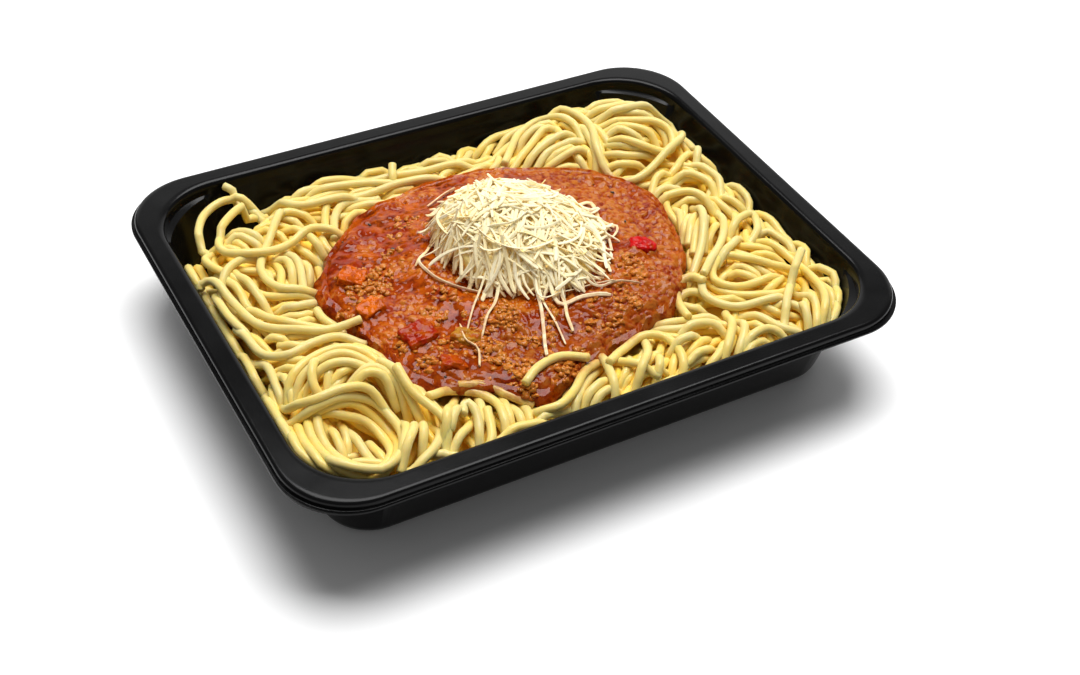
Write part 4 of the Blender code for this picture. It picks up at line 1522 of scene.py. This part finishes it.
def lump_shape(subdivisions, seed, rough):
    """One uneven crumb: a ball of few faces with its points moved in and out."""
    deselect_all()
    bpy.ops.mesh.primitive_ico_sphere_add(subdivisions=subdivisions, radius=1.0)
    ball = bpy.context.object
    random = np.random.default_rng(seed)
    for vertex in ball.data.vertices:
        way = vertex.co.normalized()
        swell = 1.0 + rough * noise.noise(way * 1.6 + Vector((seed * 5.1, 0.0, 0.0)))
        vertex.co = way * (swell + random.normal(0.0, rough * 0.14))
    points = np.array([vertex.co[:] for vertex in ball.data.vertices])
    faces = np.array([face.vertices[:] for face in ball.data.polygons])
    bpy.data.objects.remove(ball, do_unlink=True)
    return points, faces


def scattered(name, shapes, places):
    """One joined mesh of small shapes: each place gives a centre, half sizes, a turn, a shape and a tint.

    The tint is the lowest at a shape's top and the highest at its foot.
    """
    points = []
    faces = []
    tints = []
    count = 0
    for centre, sizes, turn, kind, tint in places:
        shape_points, shape_faces = shapes[kind % len(shapes)]
        rotation = np.array(Euler(turn).to_matrix())
        moved = (shape_points * np.array(sizes)) @ rotation.T + np.array(centre)
        points.append(moved)
        faces.append(shape_faces + count)
        rise = (moved[:, 2] - centre[2]) / sizes[2]
        tints.append(tint - 0.6 * rise)
        count += len(moved)
    mesh = bpy.data.meshes.new(name)
    mesh.from_pydata((np.vstack(points) * MM).tolist(), [], np.vstack(faces).tolist())
    piece = bpy.data.objects.new(name, mesh)
    bpy.context.scene.collection.objects.link(piece)
    set_attribute(piece, "tint", np.concatenate(tints))
    return piece


def make_mince(scene):
    """Crumbs of mince that lie in clumps, sunk in the sauce by about half and soaked at their foot."""
    laid = heap(scene)
    random = np.random.default_rng(31)
    shapes = [lump_shape(2, seed, 0.6) for seed in range(MINCE_KINDS)]
    places = []
    while len(places) < scene.meal_sauce.crumbs:
        middle_x, middle_y = random.uniform(*CLUMP_X), random.uniform(*CLUMP_Y)
        spread = random.uniform(*CLUMP_SPREAD)
        patchy = noise.noise((middle_x / CLUMP_PATCH, middle_y / CLUMP_PATCH, 2.0))
        crowd = CLUMP_SHARE + 0.9 * patchy - middle_y / CLUMP_BACK
        crowd -= max(0.0, middle_x - CLUMP_RIGHT[0]) / CLUMP_RIGHT[1]
        if laid.depth.at(middle_x, middle_y) < CLUMP_INSIDE or random.uniform() > crowd:
            continue
        if math.hypot(middle_x - CHEESE_MIDDLE.x, middle_y - CHEESE_MIDDLE.y) < CHEESE_ROOM:
            continue
        for _ in range(int(4 + spread ** 2 * 2.2)):
            x, y = random.normal((middle_x, middle_y), spread)
            if laid.depth.at(x, y) < CRUMB_INSIDE:
                continue
            size = SMALLEST_CRUMB + 0.9 * random.uniform() ** 2
            sizes = (size * random.uniform(0.9, 1.5), size, size * random.uniform(0.6, 0.9))
            away = math.hypot(x - middle_x, y - middle_y) / spread
            raised = 0.25 * spread * max(0.0, 1.0 - away / 1.5)
            height = float(laid.sauce_top.at(x, y)) - sizes[2] * random.uniform(0.3, 0.85) + raised
            turn = tuple(random.uniform(-0.6, 0.6, 2)) + (random.uniform(0, 6.28),)
            kind = int(random.integers(MINCE_KINDS))
            places.append(((x, y, height), sizes, turn, kind, random.uniform(0.0, 0.8)))
    piece = scattered("mince_crumbs", shapes, places)
    finish_piece(piece, mince_finish(scene.meal_sauce))


def make_specks(scene):
    laid = heap(scene)
    random = np.random.default_rng(37)
    shapes = [lump_shape(1, seed, 0.8) for seed in range(SPECK_KINDS)]
    large = (*LARGE_FLECK, float(laid.sauce_top.at(*LARGE_FLECK)) + 0.2)
    places = [(large, (1.5, 0.9, 0.4), (0, 0, 0.4), 0, 0.5)]
    while len(places) < scene.meal_sauce.specks:
        x, y = random.uniform(*FLECK_X), random.uniform(*FLECK_Y)
        if laid.depth.at(x, y) < FLECK_INSIDE:
            continue
        size = random.uniform(0.22, 0.5)
        height = float(laid.sauce_top.at(x, y)) + 0.15
        turn = (0.0, 0.0, random.uniform(0, 3.1))
        kind = int(random.integers(SPECK_KINDS))
        places.append(((x, y, height), (size * 1.5, size, size * 0.5), turn, kind, 0.5))
    piece = scattered("pepper_specks", shapes, places)
    finish_piece(piece, speck_finish())


# ------------------------------------------------------------------ vegetable pieces

def make_vegetable(scene, node, values):
    """A diced lump: a cube with bevelled, softened edges that swells and dents a little."""
    slot, half_sizes, turn, flesh, skin, film, sink = values
    low, high = node_box(node)
    deselect_all()
    middle = (low + high) / 2 - Vector((0.0, 0.0, sink))
    bpy.ops.mesh.primitive_cube_add(size=2.0, location=middle * MM)
    piece = bpy.context.object
    piece.name = node + "_soft"
    piece.scale = Vector(half_sizes) * MM
    piece.rotation_euler = [math.radians(part) for part in turn]
    bpy.ops.object.transform_apply(location=False, rotation=False, scale=True)
    bpy.ops.object.mode_set(mode="EDIT")
    bpy.ops.mesh.select_all(action="SELECT")
    bpy.ops.mesh.bevel(offset=VEGETABLE_BEVEL * MM, segments=2, profile=0.6, affect="EDGES")
    bpy.ops.mesh.select_all(action="SELECT")
    bpy.ops.mesh.subdivide(number_cuts=2, smoothness=0.6)
    bpy.ops.object.mode_set(mode="OBJECT")
    apply_modifier(piece, "SMOOTH", factor=0.6, iterations=10)
    apply_modifier(piece, "SUBSURF", levels=2, render_levels=2)
    shift = Vector((len(node) * 1.7, film * 30, 0.0))
    for vertex in piece.data.vertices:
        spot = vertex.co / MM
        swell = noise.noise(spot / 3.1 + shift) + 0.45 * noise.noise(spot / 1.2 + shift)
        vertex.co += vertex.co.normalized() * swell * VEGETABLE_NOISE * MM
    name = node + "_flesh"
    material = vegetable_finish(name, flesh, skin, scene.meal_sauce, film)
    finish_piece(piece, material, (node,))


# ------------------------------------------------------------------ grated cheese

def mound_away(x, y):
    """Distance from the mound's middle, as a share of its reach, which is longest to the front right."""
    across, up = x - MOUND_CENTRE[0], y - MOUND_CENTRE[1]
    angle = np.arctan2(up, across)
    swell = sum(share * np.cos(waves * angle + start) for share, waves, start in MOUND_SWELLS)
    return np.hypot(across, up) / MOUND_REACH / (1.0 + swell)


def mound_height(x, y, low):
    """A mound that stays a little lower than the cheese's solid, and whose top leans back and left."""
    share = np.full(np.shape(x), 0.5)
    for _ in range(6):
        away = mound_away(x - MOUND_LEAN[0] * share, y - MOUND_LEAN[1] * share)
        share = np.clip(1.0 - away * away, 0.0, 1.0) ** MOUND_ROUNDNESS
    rise = CHEESE_HIGH.z - CHEESE_LOW.z - low
    return np.where(share > 0.0, CHEESE_LOW.z + rise * share, 0.0)


def shred_routes(scene):
    """Strays on the sauce, then shreds one by one: tangled on top, and often radiating at the foot."""
    laid = heap(scene)
    settings = scene.meal_cheese
    random = np.random.default_rng(settings.seed)
    pile = Pile(np.maximum(laid.pile.top.values, mound_height(PLAN_X, PLAN_Y, BED_BELOW)))
    routes = []
    for spots in STRAY_SHREDS:
        first = np.array(spots[0], float)
        if 1.0 < mound_away(*first) < 1.4:
            spots = (first + STRAY_START * (MOUND_CENTRE - first), *spots)
        x, y, _ = smooth_route(spots, SHRED_PACE)
        z = pile.rest(x, y, SHRED_ROOM, squash=0.0, passes=20) + STRAY_LIFT
        pile.add(x, y, z, SHRED_ROOM)
        routes.append(np.column_stack((x, y, z)))
    for index in range(settings.shreds):
        angle = random.uniform(0.0, 6.283)
        filling = index < FILLING_SHARE * settings.shreds
        away = random.uniform(0.45, 1.03) if filling else random.uniform() ** 0.55 * 1.04
        across, up = math.cos(angle), math.sin(angle)
        reach = away / float(mound_away(MOUND_CENTRE[0] + across, MOUND_CENTRE[1] + up))
        x0, y0 = MOUND_CENTRE[0] + reach * across, MOUND_CENTRE[1] + reach * up
        foot = smooth_step(away * 1.6 - 0.75)
        radial = random.uniform() < 0.5 * foot
        heading = angle + random.normal(0.0, 0.7) if radial else random.uniform(0.0, 6.283)
        length = random.uniform(9.0, 17.0) if filling else random.uniform(13.0, 34.0) * (1.0 - 0.35 * foot)
        bend = random.normal(0.0, 0.045)
        steps = np.arange(int(length / SHRED_PACE)) - length / SHRED_PACE / 2
        sway = random.normal(0.0, 0.25) * np.sin(steps * 0.25 + random.uniform(0, 6))
        turn = heading + bend * steps + sway
        x = x0 + np.cumsum(np.cos(turn)) * SHRED_PACE
        y = y0 + np.cumsum(np.sin(turn)) * SHRED_PACE
        x, y = x - x.mean() + x0, y - y.mean() + y0
        kept = mound_away(x, y) < 1.06 + 0.34 * random.uniform() ** 2
        start, end = longest_run(kept)
        if end - start < FEWEST_POINTS:
            continue
        x, y = x[start:end], y[start:end]
        on_top = index > TOP_SHARE * settings.shreds
        z = pile.rest(x, y, SHRED_ROOM, squash=0.2, passes=16 if filling else 120 if on_top else 40)
        if z.max() > CHEESE_HIGH.z + HIGHEST_OVER:
            continue
        pile.add(x, y, z, SHRED_ROOM)
        share = np.linspace(-1.0, 1.0, len(z))
        for side in (-1, 1):
            lift = min(MOST_CURL, random.exponential(0.8 if on_top else 0.2))
            z = z + lift * np.maximum(0.0, side * share) ** 2
        routes.append(np.column_stack((x, y, z)))
    return routes, pile.top


def shred_profile(width, thick):
    """The flat six-sided section of a shred."""
    curve = bpy.data.curves.new("shred_section", "CURVE")
    curve.dimensions = "2D"
    spline = curve.splines.new("POLY")
    flat = 0.62 * width
    outline = ((width, 0.0), (flat, thick), (-flat, thick), (-width, 0.0), (-flat, -thick), (flat, -thick))
    spline.points.add(len(outline) - 1)
    for point, (x, y) in zip(spline.points, outline):
        point.co = (x * MM, y * MM, 0.0, 1.0)
    spline.use_cyclic_u = True
    section = bpy.data.objects.new("shred_section", curve)
    bpy.context.scene.collection.objects.link(section)
    return section, len(outline)


def make_cheese_core():
    """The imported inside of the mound, just under its shreds."""
    rings = []
    for level in range(MOUND_LEVELS):
        share = math.cos(level / MOUND_LEVELS * math.pi / 2) if level else 1.0
        ring = []
        for step in range(MOUND_SPOKES):
            angle = 2 * math.pi * step / MOUND_SPOKES
            way = (math.cos(angle), math.sin(angle))
            reach = share / float(mound_away(MOUND_CENTRE[0] + way[0], MOUND_CENTRE[1] + way[1]))
            x, y = [
                centre + MOUND_CORE_SHARE * part * reach + lean * (1 - share)
                for centre, part, lean in zip(MOUND_CENTRE, way, MOUND_LEAN)
            ]
            ruffle = 0.7 * noise.noise((x / 2.4, y / 2.4, 0.0)) + 0.3 * noise.noise((x, y, 3.0))
            ring.append((x, y, max(MOUND_FOOT, float(mound_height(x, y, CORE_BELOW)) + ruffle)))
        rings.append(ring)
    rings.insert(0, [(x, y, MOUND_BOTTOM) for x, y, _ in rings[0]])
    piece = drawn_up("cheese_core", rings, close="POLE")
    # The core takes mostly the deep colour: painted shade between the shreds
    set_attribute(piece, "tint", 0.8)
    set_attribute(piece, "stain", 0.0)
    return piece


def make_cheese(scene):
    settings = scene.meal_cheese
    material = cheese_finish(settings)
    finish_piece(make_cheese_core(), material)
    random = np.random.default_rng(settings.seed + 1)
    routes, top = shred_routes(scene)
    routes = [thinned(route, 2) for route in routes]
    section, sides = shred_profile(settings.width / 2, SHRED_THICK / 2)
    tilts = []
    for route in routes:
        start, twist = random.normal(0.0, 0.4), random.normal(0.0, 0.04)
        tilts.append(start + twist * np.arange(len(route)))
    sizes = random.uniform(*SHRED_SIZES, len(routes))
    piece = swept("cheese_shreds", routes, sides, profile=section, tilts=tilts, sizes=sizes)
    bpy.data.objects.remove(section, do_unlink=True)
    own = np.concatenate([np.full(len(route) * sides, random.uniform() ** 2 * 0.4) for route in routes])
    x, y, z = points_of(piece).T
    # Tint: a random tone for each shred, and painted warm shade the deeper a point lies under the mound's top
    sunk = top.at(x, y) - z
    set_attribute(piece, "tint", own + 0.9 * smooth_step((sunk - 0.1) / 1.6))
    strays = sum(len(route) for route in routes[:len(STRAY_SHREDS)]) * sides
    soaked = np.where(np.arange(len(z)) < strays, 0.6, 0.4)
    set_attribute(piece, "stain", soaked * smooth_step((SOAKED_BELOW - z) / 3.0))
    finish_piece(piece, material, ("grated_cheese",), angle=40)


# ------------------------------------------------------------------ stage

def make_floor():
    deselect_all()
    bpy.ops.mesh.primitive_plane_add(size=FLOOR_SIZE, location=(0.0, 0.0, 0.0))
    floor = bpy.context.object
    floor.name = "studio_floor"
    finish = Finish("white_floor", Roughness=0.9, Specular_IOR_Level=0.1)
    tint = finish.mix(finish.noise(40.0), (0.90, 0.90, 0.90, 1.0), (0.93, 0.93, 0.93, 1.0))
    floor.data.materials.append(finish.shade(Base_Color=tint))


def make_light(name, place, target, size, power):
    data = bpy.data.lights.new(name, "AREA")
    data.shape = "RECTANGLE"
    data.size, data.size_y = size
    data.energy = power
    light = bpy.data.objects.new(name, data)
    light.location = place
    light.rotation_euler = (Vector(target) - Vector(place)).to_track_quat("-Z", "Y").to_euler()
    bpy.context.scene.collection.objects.link(light)


def make_world(strength):
    world = bpy.data.worlds.new("studio")
    world.use_nodes = True
    back = world.node_tree.nodes["Background"]
    back.inputs["Color"].default_value = (1.0, 1.0, 1.0, 1.0)
    back.inputs["Strength"].default_value = strength
    bpy.context.scene.world = world


def make_camera(lens):
    data = bpy.data.cameras.new("camera")
    data.lens = lens
    data.sensor_width = SENSOR_WIDTH
    data.clip_start = 0.01
    camera = bpy.data.objects.new("camera", data)
    camera.location = CAMERA_PLACE
    camera.rotation_euler = [math.radians(part) for part in CAMERA_TURN]
    bpy.context.scene.collection.objects.link(camera)
    bpy.context.scene.camera = camera


def make_stage(scene):
    settings = scene.meal_stage
    make_floor()
    make_world(settings.fill)
    make_light("key", KEY_PLACE, (0.0, 0.0, 0.0), KEY_SIZE, settings.key_power)
    make_light("backdrop", BACKDROP_PLACE, BACKDROP_TARGET, BACKDROP_SIZE, settings.backdrop_power)
    make_camera(settings.lens)
    scene.view_settings.view_transform = "Standard"
    scene.view_settings.look = "None"
    # Light passes many times between pale strands and shreds
    scene.cycles.diffuse_bounces = 8


# ------------------------------------------------------------------ operators and panel

class TRAYMEAL_OT_stage(bpy.types.Operator):
    """Add the pale floor, the soft studio light and the camera"""
    bl_idname = "traymeal.stage"
    bl_label = "Add Stage"

    def execute(self, context):
        make_stage(context.scene)
        return {"FINISHED"}


class TRAYMEAL_OT_tray(bpy.types.Operator):
    """Model the black tray with its rolled rim"""
    bl_idname = "traymeal.tray"
    bl_label = "Model Tray"

    def execute(self, context):
        make_tray(context.scene)
        return {"FINISHED"}


class TRAYMEAL_OT_spaghetti(bpy.types.Operator):
    """Lay the heap of spaghetti, strand by strand"""
    bl_idname = "traymeal.spaghetti"
    bl_label = "Lay Spaghetti"

    def execute(self, context):
        make_core(context.scene)
        make_spaghetti(context.scene)
        return {"FINISHED"}


class TRAYMEAL_OT_sauce(bpy.types.Operator):
    """Pour the meat sauce and strew its crumbs and specks"""
    bl_idname = "traymeal.sauce"
    bl_label = "Pour Sauce"

    def execute(self, context):
        make_sauce(context.scene)
        make_mince(context.scene)
        make_specks(context.scene)
        return {"FINISHED"}


class TRAYMEAL_OT_vegetables(bpy.types.Operator):
    """Set the pieces of pepper, carrot, tomato and onion into the sauce"""
    bl_idname = "traymeal.vegetables"
    bl_label = "Add Vegetables"

    def execute(self, context):
        for node, values in VEGETABLES.items():
            make_vegetable(context.scene, node, values)
        return {"FINISHED"}


class TRAYMEAL_OT_cheese(bpy.types.Operator):
    """Heap the grated cheese on the sauce"""
    bl_idname = "traymeal.cheese"
    bl_label = "Grate Cheese"

    def execute(self, context):
        make_cheese(context.scene)
        return {"FINISHED"}


class TRAYMEAL_PT_panel(bpy.types.Panel):
    """Settings and steps of the tray meal"""
    bl_idname = "TRAYMEAL_PT_panel"
    bl_label = "Tray Meal"
    bl_space_type = "VIEW_3D"
    bl_region_type = "UI"
    bl_category = "Tray Meal"

    def draw(self, context):
        for operator in OPERATORS:
            self.layout.operator(operator.bl_idname)
        for name, group in GROUPS.items():
            column = self.layout.column(heading=name.replace("_", " ").title())
            for setting in group.__annotations__:
                column.prop(getattr(context.scene, name), setting)


OPERATORS = (
    TRAYMEAL_OT_stage, TRAYMEAL_OT_tray, TRAYMEAL_OT_spaghetti, TRAYMEAL_OT_sauce, TRAYMEAL_OT_vegetables,
    TRAYMEAL_OT_cheese,
)
GROUPS = {
    "meal_tray": TrayMealTray,
    "meal_pasta": TrayMealPasta,
    "meal_sauce": TrayMealSauce,
    "meal_cheese": TrayMealCheese,
    "meal_stage": TrayMealStage,
}


def register():
    for kind in (*GROUPS.values(), *OPERATORS, TRAYMEAL_PT_panel):
        bpy.utils.register_class(kind)
    for name, group in GROUPS.items():
        setattr(bpy.types.Scene, name, PointerProperty(type=group))


def unregister():
    for name in GROUPS:
        delattr(bpy.types.Scene, name)
    for kind in reversed((*GROUPS.values(), *OPERATORS, TRAYMEAL_PT_panel)):
        bpy.utils.unregister_class(kind)


def main():
    register()
    bpy.ops.traymeal.stage()
    bpy.ops.traymeal.tray()
    bpy.ops.traymeal.spaghetti()
    bpy.ops.traymeal.sauce()
    bpy.ops.traymeal.vegetables()
    bpy.ops.traymeal.cheese()
    bpy.context.view_layer.update()


if __name__ == "__main__":
    main()
